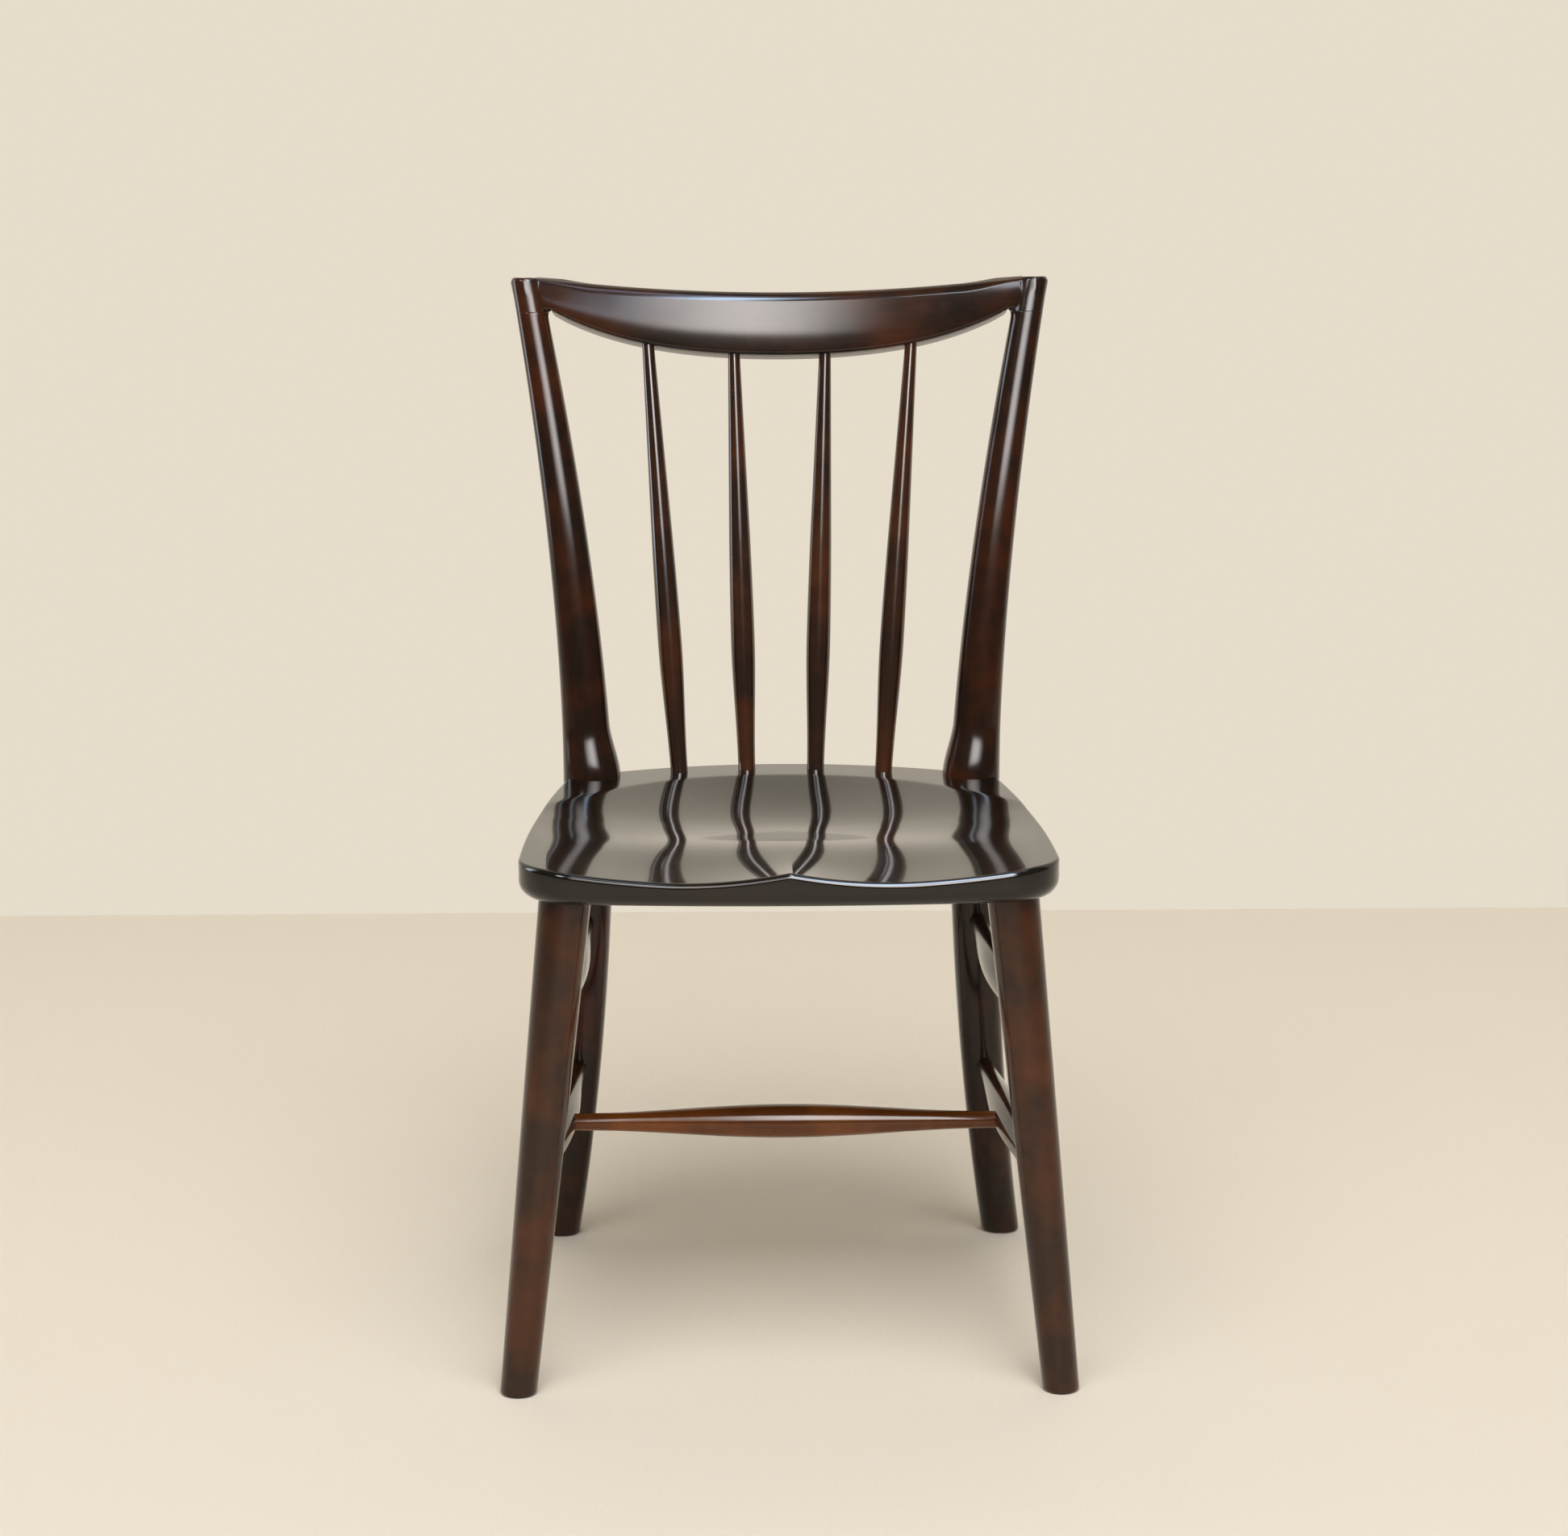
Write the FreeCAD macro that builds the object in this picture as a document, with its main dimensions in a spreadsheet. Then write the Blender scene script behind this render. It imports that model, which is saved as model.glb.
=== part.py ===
# A wooden dining chair: a saddled plank seat, tapered front legs, rear legs that run on up as the
# back posts, a crescent crest rail, four turned spindles and five swelled stretchers.
# Millimetres, +Z up. The front faces -Y, and left and right are as seen from the front.
# The origin is on the floor, at the middle of the chair's width and depth.
import FreeCAD, Part
import math
import os
from FreeCAD import Vector

SIZES = [
    ("seat_height", 444, "top of the seat at its front edge"),
    ("seat_slope", 1.4, "degrees that the seat falls towards the back"),
    ("seat_thickness", 30, "plank"),
    ("seat_width", 441, "widest"),
    ("seat_depth", 407.5, "front edge to back edge, on the middle line"),
    ("seat_front_y", -240.6, "front edge"),
    ("seat_front_radius", 1800, "plan radius of the front edge"),
    ("seat_side_radius", 1830, "plan radius of the side edges"),
    ("seat_widest_back", 8, "from the front edge to the widest place"),
    ("seat_corner_radius", 48, "front corners in plan"),
    ("seat_back_radius", 372, "plan radius of the back edge"),
    ("seat_rear_corner_radius", 18, "rear corners in plan"),
    ("seat_under_round", 13, "rounding of the lower edge"),
    ("seat_top_round", 2.5, "rounding of the upper edge"),
    ("dish_depth", 11, "deepest place of the saddle"),
    ("dish_back_rim", 45.5, "flat rim at the back, on the middle line"),
    ("dish_side_rim", 25.5, "from the widest place of the seat to the side of the dish"),
    ("dish_back_run", 100, "distance over which the back of the dish falls"),
    ("dish_side_power", 2.6, "how square the dish is across"),
    ("pommel_half_width", 110, "reach of the centre ridge to each side"),
    ("pommel_length", 118, "reach of the centre ridge to the back"),
    ("front_leg_from_side", 38.7, "axis of the front leg under the seat, from the widest place of the seat"),
    ("front_leg_from_front", 46, "axis of the front leg under the seat, from the seat's front edge"),
    ("front_leg_splay", 42, "how far the front foot stands out sideways"),
    ("front_leg_rake", 38, "how far the front foot stands forward"),
    ("front_foot_diameter", 30.5, "front leg on the floor"),
    ("front_leg_diameter", 43, "front leg under the seat"),
    ("front_tenon_diameter", 28, "round tenon of the front leg"),
    ("front_tenon_length", 16, "round tenon of the front leg in the seat"),
    ("post_from_side", 50.9, "axis of the post in the seat's thickness, from the widest place of the seat"),
    ("post_from_back", 40.5, "axis of the post in the seat's thickness, from the seat's back edge"),
    ("rear_leg_splay", 29.8, "how far the rear foot stands out sideways"),
    ("rear_leg_rake", 32.6, "how far the rear foot stands back"),
    ("post_spread", 52.8, "how far the top of the post stands out sideways"),
    ("post_lean", 87, "how far the top of the post stands back"),
    ("back_height", 418, "from the seat's front edge to the flat top of the horns"),
    ("post_sweep", 1.65, "exponent of the curve above the seat"),
    ("leg_sweep", 2.05, "exponent of the curve below the seat"),
    ("rear_foot_width", 34, "across"),
    ("post_seat_width", 44, "across"),
    ("post_top_width", 26, "across"),
    ("rear_foot_depth", 34, "front to back"),
    ("post_seat_depth", 42, "front to back"),
    ("post_top_depth", 25, "front to back"),
    ("post_roundness", 0.6, "corner radius of the post, as a share of half its depth"),
    ("flare_height", 46, "sculpted foot of the post above the seat"),
    ("flare_inwards", 7, "how far that foot spreads inwards"),
    ("flare_forwards", 8, "how far that foot spreads forwards"),
    ("notch_inset", 5, "side of the seat's notch, from the inner face of the post"),
    ("lip_depth", 10, "front of the seat's notch, from the front face of the post"),
    ("horn_height", 29, "horns, above their seam with the posts"),
    ("crest_middle_dip", 19, "top edge on the middle line, below the top of the horns"),
    ("crest_end_dip", 2.5, "top edge where it meets the horns, below their top"),
    ("crest_middle_drop", 73, "bottom edge on the middle line, below the top of the horns"),
    ("crest_end_drop", 26, "bottom edge where it meets the horns, below their top"),
    ("crest_end_inset", 12.4, "where it meets the horns, from the axis of the posts at their top"),
    ("crest_belly_share", 0.62, "how much of the bottom edge's rise is a parabola"),
    ("crest_bow", 32, "how far the middle stands behind the ends"),
    ("crest_thickness", 22, "front to back"),
    ("crest_roundness", 0.7, "corner radius of the crest rail, as a share of half its thickness"),
    ("spindle_inset", 19.4, "spindle centres from the back edge of the seat"),
    ("inner_spindle_seat_x", 30.3, "centre in the seat"),
    ("inner_spindle_crest_x", 40, "centre at the crest rail"),
    ("outer_spindle_seat_x", 89.9, "centre in the seat"),
    ("outer_spindle_crest_x", 115.3, "centre at the crest rail"),
    ("spindle_foot_diameter", 15.3, "at the seat"),
    ("spindle_belly_diameter", 21.2, "widest"),
    ("spindle_shoulder_diameter", 18.9, "where the upper taper begins"),
    ("spindle_top_diameter", 10.7, "at the crest rail"),
    ("spindle_belly_height", 112, "above the seat"),
    ("spindle_shoulder_height", 204, "above the seat"),
    ("spindle_seat_tenon", 20, "length inside the seat"),
    ("spindle_crest_tenon", 18, "length inside the crest rail"),
    ("stretcher_end_diameter", 14.6, "where it enters a leg"),
    ("stretcher_belly_diameter", 29, "widest"),
    ("stretcher_tenon", 24, "straight length at each end of a side stretcher"),
    ("cross_tenon", 15, "straight length at each end of the cross stretcher"),
    ("lower_stretcher_front", 172, "height where it meets the front leg"),
    ("lower_stretcher_rear", 167, "height where it meets the rear leg"),
    ("upper_stretcher_front", 304, "height where it meets the front leg"),
    ("upper_stretcher_rear", 304, "height where it meets the rear leg"),
    ("joint_gap", 0.1, "glue gap on the diameter of a round tenon or dowel"),
    ("dowel_diameter", 8, "dowels between posts and crest rail"),
    ("dowel_length", 36, "half in the post, half in the crest rail"),
    ("dowel_spacing", 12, "two dowels in each post"),
    ("screw_diameter", 5, "shank of the screws that hold the posts to the seat"),
    ("screw_head_diameter", 9, "head"),
    ("screw_head_height", 4, "head"),
    ("screw_length", 40, "shank"),
    ("screw_spacing", 16, "two screws in each post"),
    ("plug_diameter", 10, "wooden plugs over the screw heads"),
    ("plug_bore_depth", 13, "from the back of the post to the screw head's seat"),
]
REACH = 600
TOOL_MARGIN = 40
MAIN_LABELS = []

doc = FreeCAD.newDocument("chair")
sheet = doc.addObject("Spreadsheet::Sheet", "sizes")
for row, (alias, size, note) in enumerate(SIZES, start=1):
    sheet.set("A%d" % row, alias)
    sheet.set("B%d" % row, str(size))
    sheet.setAlias("B%d" % row, alias)
    sheet.set("C%d" % row, note)
doc.recompute()


def number(expression):
    """The value of an expression on the sheet's sizes."""
    found = sheet.evalExpression(expression)
    return float(getattr(found, "Value", found))


def point(place):
    """A vector from three expressions."""
    return Vector(*[number(part) for part in place])


# Places that pieces share, each an expression on the sheet's sizes.

def seat_top(y):
    """Height of the seat's flat top at depth y."""
    return "(sizes.seat_height - tan(sizes.seat_slope) * (%s - sizes.seat_front_y))" % y


def seat_under(y):
    """Height of the seat's flat underside at depth y."""
    return "(%s - sizes.seat_thickness / cos(sizes.seat_slope))" % seat_top(y)


SEAT_BACK = "(sizes.seat_front_y + sizes.seat_depth)"
LEG_X = "(sizes.seat_width / 2 - sizes.front_leg_from_side)"
LEG_Y = "(sizes.seat_front_y + sizes.front_leg_from_front)"
LEG_TOP = seat_under(LEG_Y)
POST_X = "(sizes.seat_width / 2 - sizes.post_from_side)"
POST_Y = "(%s - sizes.post_from_back)" % SEAT_BACK
WAIST = "(%s - sizes.seat_thickness / 2)" % seat_top(POST_Y)
TOP = "(sizes.seat_height + sizes.back_height)"
SEAM = "(%s - sizes.horn_height)" % TOP
CREST_HALF = "(%s + sizes.post_spread - sizes.crest_end_inset)" % POST_X


def front_leg_at(height):
    """Axis of the right front leg at a height: a straight line."""
    share = "(1 - (%s) / %s)" % (height, LEG_TOP)
    x = "(%s + sizes.front_leg_splay * %s)" % (LEG_X, share)
    y = "(%s - sizes.front_leg_rake * %s)" % (LEG_Y, share)
    return [x, y, "(%s)" % height]


def rear_leg_at(height):
    """Axis of the right rear leg at a height below the seat: a power of the distance to the seat."""
    share = "abs((%s - (%s)) / %s) ^ sizes.leg_sweep" % (WAIST, height, WAIST)
    x = "(%s + sizes.rear_leg_splay * %s)" % (POST_X, share)
    y = "(%s + sizes.rear_leg_rake * %s)" % (POST_Y, share)
    return [x, y, "(%s)" % height]


def post_at(height):
    """Axis of the right post at a height above the seat: a power of the distance to the seat."""
    share = "abs(((%s) - %s) / (%s - %s)) ^ sizes.post_sweep" % (height, WAIST, TOP, WAIST)
    x = "(%s + sizes.post_spread * %s)" % (POST_X, share)
    y = "(%s + sizes.post_lean * %s)" % (POST_Y, share)
    return [x, y, "(%s)" % height]


def crest_bottom(x):
    """Height of the crest rail's bottom edge: a parabola plus a fourth power of x."""
    rise = "(sizes.crest_middle_drop - sizes.crest_end_drop)"
    u = "((%s) / %s)" % (x, CREST_HALF)
    shape = "(sizes.crest_belly_share * %s ^ 2 + (1 - sizes.crest_belly_share) * %s ^ 4)" % (u, u)
    return "(%s - sizes.crest_middle_drop + %s * %s)" % (TOP, rise, shape)


def crest_top(x):
    """Height of the crest rail's top edge: a parabola."""
    rise = "(sizes.crest_middle_dip - sizes.crest_end_dip)"
    return "(%s - sizes.crest_middle_dip + %s * ((%s) / %s) ^ 2)" % (TOP, rise, x, CREST_HALF)


def crest_middle_y(x, height):
    """Depth of the crest rail's mid surface: the posts' lean plus a parabolic bow."""
    bow = "sizes.crest_bow * (1 - ((%s) / %s) ^ 2)" % (x, CREST_HALF)
    return "(%s + %s)" % (post_at(height)[1], bow)


class Run:
    """A straight axis between two places, as expressions."""

    def __init__(self, start, end):
        self.start = start
        self.delta = ["(%s - %s)" % (b, a) for a, b in zip(start, end)]
        self.length = "sqrt(%s ^ 2 + %s ^ 2 + %s ^ 2)" % tuple(self.delta)

    def at(self, distance):
        """The place at a distance from the start, as three expressions."""
        return ["(%s + %s * (%s) / %s)" % (a, d, distance, self.length)
                for a, d in zip(self.start, self.delta)]

    def placement(self, distance="0"):
        """A placement at a distance along the axis, with local Z along it."""
        x, y, z = self.at(distance)
        dx, dy, dz = self.delta
        turn = "rotation(vector(-%s; %s; 0); acos(%s / %s))" % (dy, dx, dz, self.length)
        return "placement(vector(%s; %s; %s); %s)" % (x, y, z, turn)


# Helpers that make objects of the document.

def keep(item, label):
    """Gives a finished sub-part its label and puts it on the list of files to write."""
    item.Label = label
    MAIN_LABELS.append(label)
    return item


def origin_plane(body, role):
    """The body's own origin plane of that role."""
    return [feature for feature in body.Origin.OriginFeatures if feature.Role == role][0]


def bind_point(sketch, geometry, end, x, y):
    """Ties a sketch point to two expressions, or to an axis where the value is zero."""
    for kind, expression, axis in (("DistanceX", x, -2), ("DistanceY", y, -1)):
        if expression == "0":
            sketch.addConstraint(sketch_constraint("PointOnObject", geometry, end, axis))
        else:
            value = number(expression)
            index = sketch.addConstraint(sketch_constraint(kind, -1, 1, geometry, end, value))
            sketch.setExpression("Constraints[%d]" % index, expression)


def sketch_constraint(*values):
    import Sketcher
    return Sketcher.Constraint(*values)


def arc_between(first, last, level):
    """Arc from first to last with its centre at the height level; gives the arc and its end order."""
    rise = last.y - first.y
    tangent, other = (first, last) if level == first.y else (last, first)
    centre_x = (other.x ** 2 - tangent.x ** 2 + rise ** 2) / (2 * (other.x - tangent.x))
    centre = Vector(centre_x, level, 0)
    circle = Part.Circle(centre, Vector(0, 0, 1), (first - centre).Length)
    angles = [math.atan2(spot.y - centre.y, spot.x - centre.x) for spot in (first, last)]
    turn = (angles[1] - angles[0]) % (2 * math.pi)
    if turn < math.pi:
        return Part.ArcOfCircle(circle, angles[0], angles[0] + turn), (1, 2)
    back = 2 * math.pi - turn
    return Part.ArcOfCircle(circle, angles[1], angles[1] + back), (2, 1)


def turned_body(name, stations, run):
    """A body turned about its local Z. A station is radius, height and how the line goes on:
    straight, leave (an arc that starts along the axis) or reach (an arc that ends along it)."""
    body = doc.addObject("PartDesign::Body", name)
    sketch = body.newObject("Sketcher::SketchObject", name + "_profile")
    sketch.AttachmentSupport = (origin_plane(body, "XZ_Plane"), [""])
    sketch.MapMode = "FlatFace"
    spots = [Vector(number(radius), number(height), 0) for radius, height, way in stations]
    ends = []
    for index, (radius, height, way) in enumerate(stations):
        first, last = spots[index], spots[(index + 1) % len(spots)]
        if way == "straight":
            line, order = Part.LineSegment(first, last), (1, 2)
        else:
            line, order = arc_between(first, last, first.y if way == "leave" else last.y)
        ends.append((sketch.addGeometry(line, False),) + order)
    for index, (radius, height, way) in enumerate(stations):
        here, before = ends[index], ends[index - 1]
        sketch.addConstraint(sketch_constraint("Coincident", before[0], before[2], here[0], here[1]))
        bind_point(sketch, here[0], here[1], radius, height)
    for index, (radius, height, way) in enumerate(stations):
        here = ends[index]
        if way != "straight":
            level_end = here[1] if way == "leave" else here[2]
            sketch.addConstraint(sketch_constraint("Horizontal", here[0], 3, here[0], level_end))
    turning = body.newObject("PartDesign::Revolution", name + "_turning")
    turning.Profile = sketch
    turning.ReferenceAxis = (sketch, ["V_Axis"])
    turning.Angle = 360
    body.Tip = turning
    body.setExpression("Placement", run.placement())
    return body


def rod(name, run, start, length, diameter):
    """A plain cylinder along a run, from a distance on it."""
    item = doc.addObject("Part::Cylinder", name)
    item.setExpression("Radius", "(%s) / 2" % diameter)
    item.setExpression("Height", length)
    item.setExpression("Placement", run.placement(start))
    return item


def bored(diameter):
    """The diameter of a hole for a round tenon or dowel."""
    return "%s + sizes.joint_gap" % diameter


def mirrored(source, name):
    """The same thing on the other side of the chair's middle plane."""
    item = doc.addObject("Part::Mirroring", name)
    item.Source = source
    item.Base = Vector(0, 0, 0)
    item.Normal = Vector(1, 0, 0)
    return item


def fused(name, items):
    item = doc.addObject("Part::MultiFuse", name)
    item.Shapes = items
    return item


def gathered(name, items):
    item = doc.addObject("Part::Compound", name)
    item.Links = items
    return item


def cut(name, base, tool):
    item = doc.addObject("Part::Cut", name)
    item.Base = base
    item.Tool = tool
    return item


def common(name, base, tool):
    item = doc.addObject("Part::Common", name)
    item.Base = base
    item.Tool = tool
    return item


def rounded_section(centre, across, along, half_across, half_along, corner):
    """A rectangle with rounded corners about a centre, between two directions."""
    def spot(a, b):
        return centre + across * a + along * b

    edges = []
    slack = corner * (1 - math.sqrt(0.5))
    for turn in range(4):
        a_sign, b_sign = ((1, 1), (-1, 1), (-1, -1), (1, -1))[turn]
        side_end = spot(a_sign * half_across, b_sign * (half_along - corner))
        middle = spot(a_sign * (half_across - slack), b_sign * (half_along - slack))
        top_end = spot(a_sign * (half_across - corner), b_sign * half_along)
        ends = [side_end, top_end] if turn % 2 == 0 else [top_end, side_end]
        if edges:
            edges.append(Part.LineSegment(last, ends[0]).toShape())
        else:
            first = ends[0]
        edges.append(Part.Arc(ends[0], middle, ends[1]).toShape())
        last = ends[1]
    edges.append(Part.LineSegment(last, first).toShape())
    return Part.Wire(edges)


def plain_feature(name, shape):
    item = doc.addObject("Part::Feature", name)
    item.Shape = shape
    return item


# Seat: a plank with rounded edges, dished on top, notched for the posts and bored from both sides.

SEAT_PLACEMENT = ("placement(vector(0; sizes.seat_front_y; sizes.seat_height); "
                  "rotation(vector(1; 0; 0); -sizes.seat_slope))")


def circles_meet(centre_a, radius_a, centre_b, radius_b, side):
    """One of the two points where circles about two centres meet."""
    gap = centre_b - centre_a
    along = (radius_a ** 2 - radius_b ** 2 + gap.Length ** 2) / (2 * gap.Length)
    across = math.sqrt(radius_a ** 2 - along ** 2)
    way = gap.normalize()
    return centre_a + way * along + Vector(-way.y, way.x, 0) * (across * side)


def plan_arc(sketch, centre, radius, first, last):
    """Adds the arc that runs counter-clockwise from first to last."""
    angles = [math.atan2(spot.y - centre.y, spot.x - centre.x) for spot in (first, last)]
    turn = (angles[1] - angles[0]) % (2 * math.pi)
    circle = Part.Circle(centre, Vector(0, 0, 1), radius)
    return sketch.addGeometry(Part.ArcOfCircle(circle, angles[0], angles[0] + turn), False)


def seat_plank():
    """The plank: a padded outline of eight tangent arcs, with its lower and upper edges rounded."""
    body = doc.addObject("PartDesign::Body", "seat_plank")
    sketch = body.newObject("Sketcher::SketchObject", "seat_outline")
    sketch.AttachmentSupport = (origin_plane(body, "XY_Plane"), [""])
    sketch.MapMode = "FlatFace"
    front_r = number("sizes.seat_front_radius")
    side_r = number("sizes.seat_side_radius")
    back_r = number("sizes.seat_back_radius")
    corner_r = number("sizes.seat_corner_radius")
    rear_r = number("sizes.seat_rear_corner_radius")
    side_x = "sizes.seat_side_radius - sizes.seat_width / 2"
    back_y = "sizes.seat_back_radius - sizes.seat_depth"
    front = Vector(0, front_r, 0)
    back = Vector(0, -number(back_y), 0)
    right = Vector(-number(side_x), number("sizes.seat_widest_back"), 0)
    corner = circles_meet(right, side_r - corner_r, front, front_r - corner_r, 1)
    if corner.x < 0 or corner.y > side_r:
        corner = circles_meet(right, side_r - corner_r, front, front_r - corner_r, -1)
    rear = circles_meet(right, side_r - rear_r, back, back_r - rear_r, 1)
    if rear.x < 0:
        rear = circles_meet(right, side_r - rear_r, back, back_r - rear_r, -1)

    def touch(centre, through, radius):
        return centre + (through - centre).normalize() * radius

    front_right = touch(front, corner, front_r)
    right_front = touch(right, corner, side_r)
    right_rear = touch(right, rear, side_r)
    back_right = touch(back, rear, back_r)

    def other(spot):
        return Vector(-spot.x, spot.y, 0)

    arcs = [
        (front, front_r, other(front_right), front_right),
        (corner, corner_r, front_right, right_front),
        (right, side_r, right_front, right_rear),
        (rear, rear_r, right_rear, back_right),
        (back, back_r, back_right, other(back_right)),
        (other(rear), rear_r, other(back_right), other(right_rear)),
        (other(right), side_r, other(right_rear), other(right_front)),
        (other(corner), corner_r, other(right_front), other(front_right)),
    ]
    lines = [plan_arc(sketch, *arc) for arc in arcs]
    for index, line in enumerate(lines):
        before = lines[index - 1]
        sketch.addConstraint(sketch_constraint("Tangent", before, 2, line, 1))

    def bind(kind, places, expression):
        index = sketch.addConstraint(sketch_constraint(kind, *places, number(expression)))
        sketch.setExpression("Constraints[%d]" % index, expression)

    radii = [(0, "sizes.seat_front_radius"), (2, "sizes.seat_side_radius"), (4, "sizes.seat_back_radius"),
             (1, "sizes.seat_corner_radius"), (3, "sizes.seat_rear_corner_radius")]
    for line, expression in radii:
        bind("Radius", (line,), expression)
    for line, twin in ((2, 6), (1, 7), (3, 5)):
        sketch.addConstraint(sketch_constraint("Equal", line, twin))
    for line in (0, 4):
        sketch.addConstraint(sketch_constraint("PointOnObject", line, 3, -2))
    bind("DistanceY", (-1, 1, 0, 3), "sizes.seat_front_radius")
    bind("DistanceY", (4, 3, -1, 1), back_y)
    bind("DistanceX", (2, 3, -1, 1), side_x)
    bind("DistanceX", (-1, 1, 6, 3), side_x)
    bind("DistanceY", (-1, 1, 2, 3), "sizes.seat_widest_back")
    sketch.addConstraint(sketch_constraint("Horizontal", 2, 3, 6, 3))
    pad = body.newObject("PartDesign::Pad", "seat_pad")
    pad.Profile = sketch
    pad.Reversed = True
    pad.setExpression("Length", "sizes.seat_thickness")
    doc.recompute()
    thickness = number("sizes.seat_thickness")
    last = pad
    for label, level, size in (("seat_under_edge", -thickness, "sizes.seat_under_round"),
                               ("seat_upper_edge", 0, "sizes.seat_top_round")):
        edges = ["Edge%d" % (index + 1) for index, edge in enumerate(last.Shape.Edges)
                 if max(abs(vertex.Z - level) for vertex in edge.Vertexes) < 1e-6]
        rounding = body.newObject("PartDesign::Fillet", label)
        rounding.Base = (last, edges)
        rounding.setExpression("Radius", size)
        doc.recompute()
        last = rounding
    body.Tip = last
    body.setExpression("Placement", SEAT_PLACEMENT)
    return body


def dish_fall(x, y):
    """How far the saddle lies below the seat's flat top, negative outside it. Across, a power of x;
    at the back, a parabola; less a pommel that fades to the sides and the back."""
    depth = number("sizes.dish_depth")
    half = number("sizes.seat_width / 2 - sizes.dish_side_rim")
    from_rim = number("sizes.seat_depth - sizes.dish_back_rim") - y
    side = (abs(x) / half) ** number("sizes.dish_side_power")
    back = max(0, 1 - from_rim / number("sizes.dish_back_run")) ** 2
    across = max(0, 1 - abs(x) / number("sizes.pommel_half_width")) ** 2
    along = max(0, 1 - max(0, y) / number("sizes.pommel_length")) ** 2
    return depth * (1 - side - back - across * along)


def dish_cutter():
    """Everything above the saddle: a smooth surface over the right half, drawn up, and its mirror."""
    half = number("sizes.seat_width") / 2 + TOOL_MARGIN
    depth = number("sizes.seat_depth")
    columns, rows = 15, 22
    grid = []
    for column in range(columns):
        x = half * column / (columns - 1)
        line = []
        for row in range(rows):
            y = -TOOL_MARGIN / 2 + (depth + TOOL_MARGIN) * row / (rows - 1)
            line.append(Vector(x, y, -dish_fall(x, y)))
        grid.append(line)
    surface = Part.BSplineSurface()
    surface.interpolate(grid)
    right = surface.toShape().extrude(Vector(0, 0, 3 * number("sizes.seat_thickness")))
    left = right.mirror(Vector(0, 0, 0), Vector(1, 0, 0))
    item = plain_feature("dish_cutter", Part.makeCompound([right, left]))
    item.setExpression("Placement", SEAT_PLACEMENT)
    return item


def notch_box():
    """The corner that the right post's core takes out of the seat."""
    inner = "(%s - sizes.post_seat_width / 2 + sizes.notch_inset)" % POST_X
    front = "(%s - sizes.post_seat_depth / 2 + sizes.lip_depth)" % POST_Y
    box = doc.addObject("Part::Box", "notch")
    box.setExpression("Length", "sizes.seat_width")
    box.setExpression("Width", "sizes.seat_depth")
    box.setExpression("Height", "sizes.seat_thickness * 4")
    level = "(sizes.seat_height - sizes.seat_thickness * 2)"
    box.setExpression("Placement", "placement(vector(%s; %s; %s); rotation(vector(0; 0; 1); 0))"
                      % (inner, front, level))
    return box


# Axes of the turned pieces, on the right side or across.

front_leg_run = Run(front_leg_at("0"), front_leg_at(LEG_TOP))


def spindle_run(seat_x, crest_x):
    """From the tip in the seat to the tip in the crest rail."""
    ring = "(sizes.seat_back_radius - sizes.spindle_inset)"
    y = "(%s - sizes.seat_back_radius + sqrt(%s ^ 2 - (%s) ^ 2))" % (SEAT_BACK, ring, seat_x)
    foot = [seat_x, y, seat_top(y)]
    head = [crest_x, crest_middle_y(crest_x, crest_bottom(crest_x)), crest_bottom(crest_x)]
    seen = Run(foot, head)
    return Run(seen.at("-sizes.spindle_seat_tenon"), seen.at("%s + sizes.spindle_crest_tenon" % seen.length))


SPINDLES = {
    "inner": spindle_run("sizes.inner_spindle_seat_x", "sizes.inner_spindle_crest_x"),
    "outer": spindle_run("sizes.outer_spindle_seat_x", "sizes.outer_spindle_crest_x"),
}
SIDE_STRETCHERS = {
    "lower": Run(front_leg_at("sizes.lower_stretcher_front"), rear_leg_at("sizes.lower_stretcher_rear")),
    "upper": Run(front_leg_at("sizes.upper_stretcher_front"), rear_leg_at("sizes.upper_stretcher_rear")),
}
cross_end = SIDE_STRETCHERS["lower"].at("%s / 2" % SIDE_STRETCHERS["lower"].length)
cross_run = Run(["(-%s)" % cross_end[0], cross_end[1], cross_end[2]], cross_end)


def swelled_stations(length, tenon):
    """Straight tenon, a bell that swells to the belly at the middle, and the same back."""
    end = "sizes.stretcher_end_diameter / 2"
    belly = "sizes.stretcher_belly_diameter / 2"
    between = "(sizes.stretcher_end_diameter + sizes.stretcher_belly_diameter) / 4"
    first = "(%s / 2 + %s) / 2" % (length, tenon)
    return [
        ("0", "0", "straight"),
        (end, "0", "straight"),
        (end, tenon, "leave"),
        (between, first, "reach"),
        (belly, "%s / 2" % length, "leave"),
        (between, "%s - %s" % (length, first), "reach"),
        (end, "%s - %s" % (length, tenon), "straight"),
        (end, length, "straight"),
        ("0", length, "straight"),
    ]


def spindle_stations(length):
    """Straight tenon, a quick swell to the belly, a shoulder, and a long taper to the top."""
    foot = "sizes.spindle_foot_diameter / 2"
    belly = "sizes.spindle_belly_diameter / 2"
    lift = "sizes.spindle_seat_tenon"
    turn_share = 0.35
    turn_radius = "(%s + (%s - %s) * %s)" % (foot, belly, foot, turn_share)
    return [
        ("0", "0", "straight"),
        (foot, "0", "straight"),
        (foot, lift, "leave"),
        (turn_radius, "%s + sizes.spindle_belly_height * %s" % (lift, turn_share), "reach"),
        (belly, "%s + sizes.spindle_belly_height" % lift, "leave"),
        ("sizes.spindle_shoulder_diameter / 2", "%s + sizes.spindle_shoulder_height" % lift, "straight"),
        ("sizes.spindle_top_diameter / 2", "%s - sizes.spindle_crest_tenon" % length, "straight"),
        ("sizes.spindle_top_diameter / 2", length, "straight"),
        ("0", length, "straight"),
    ]


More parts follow.
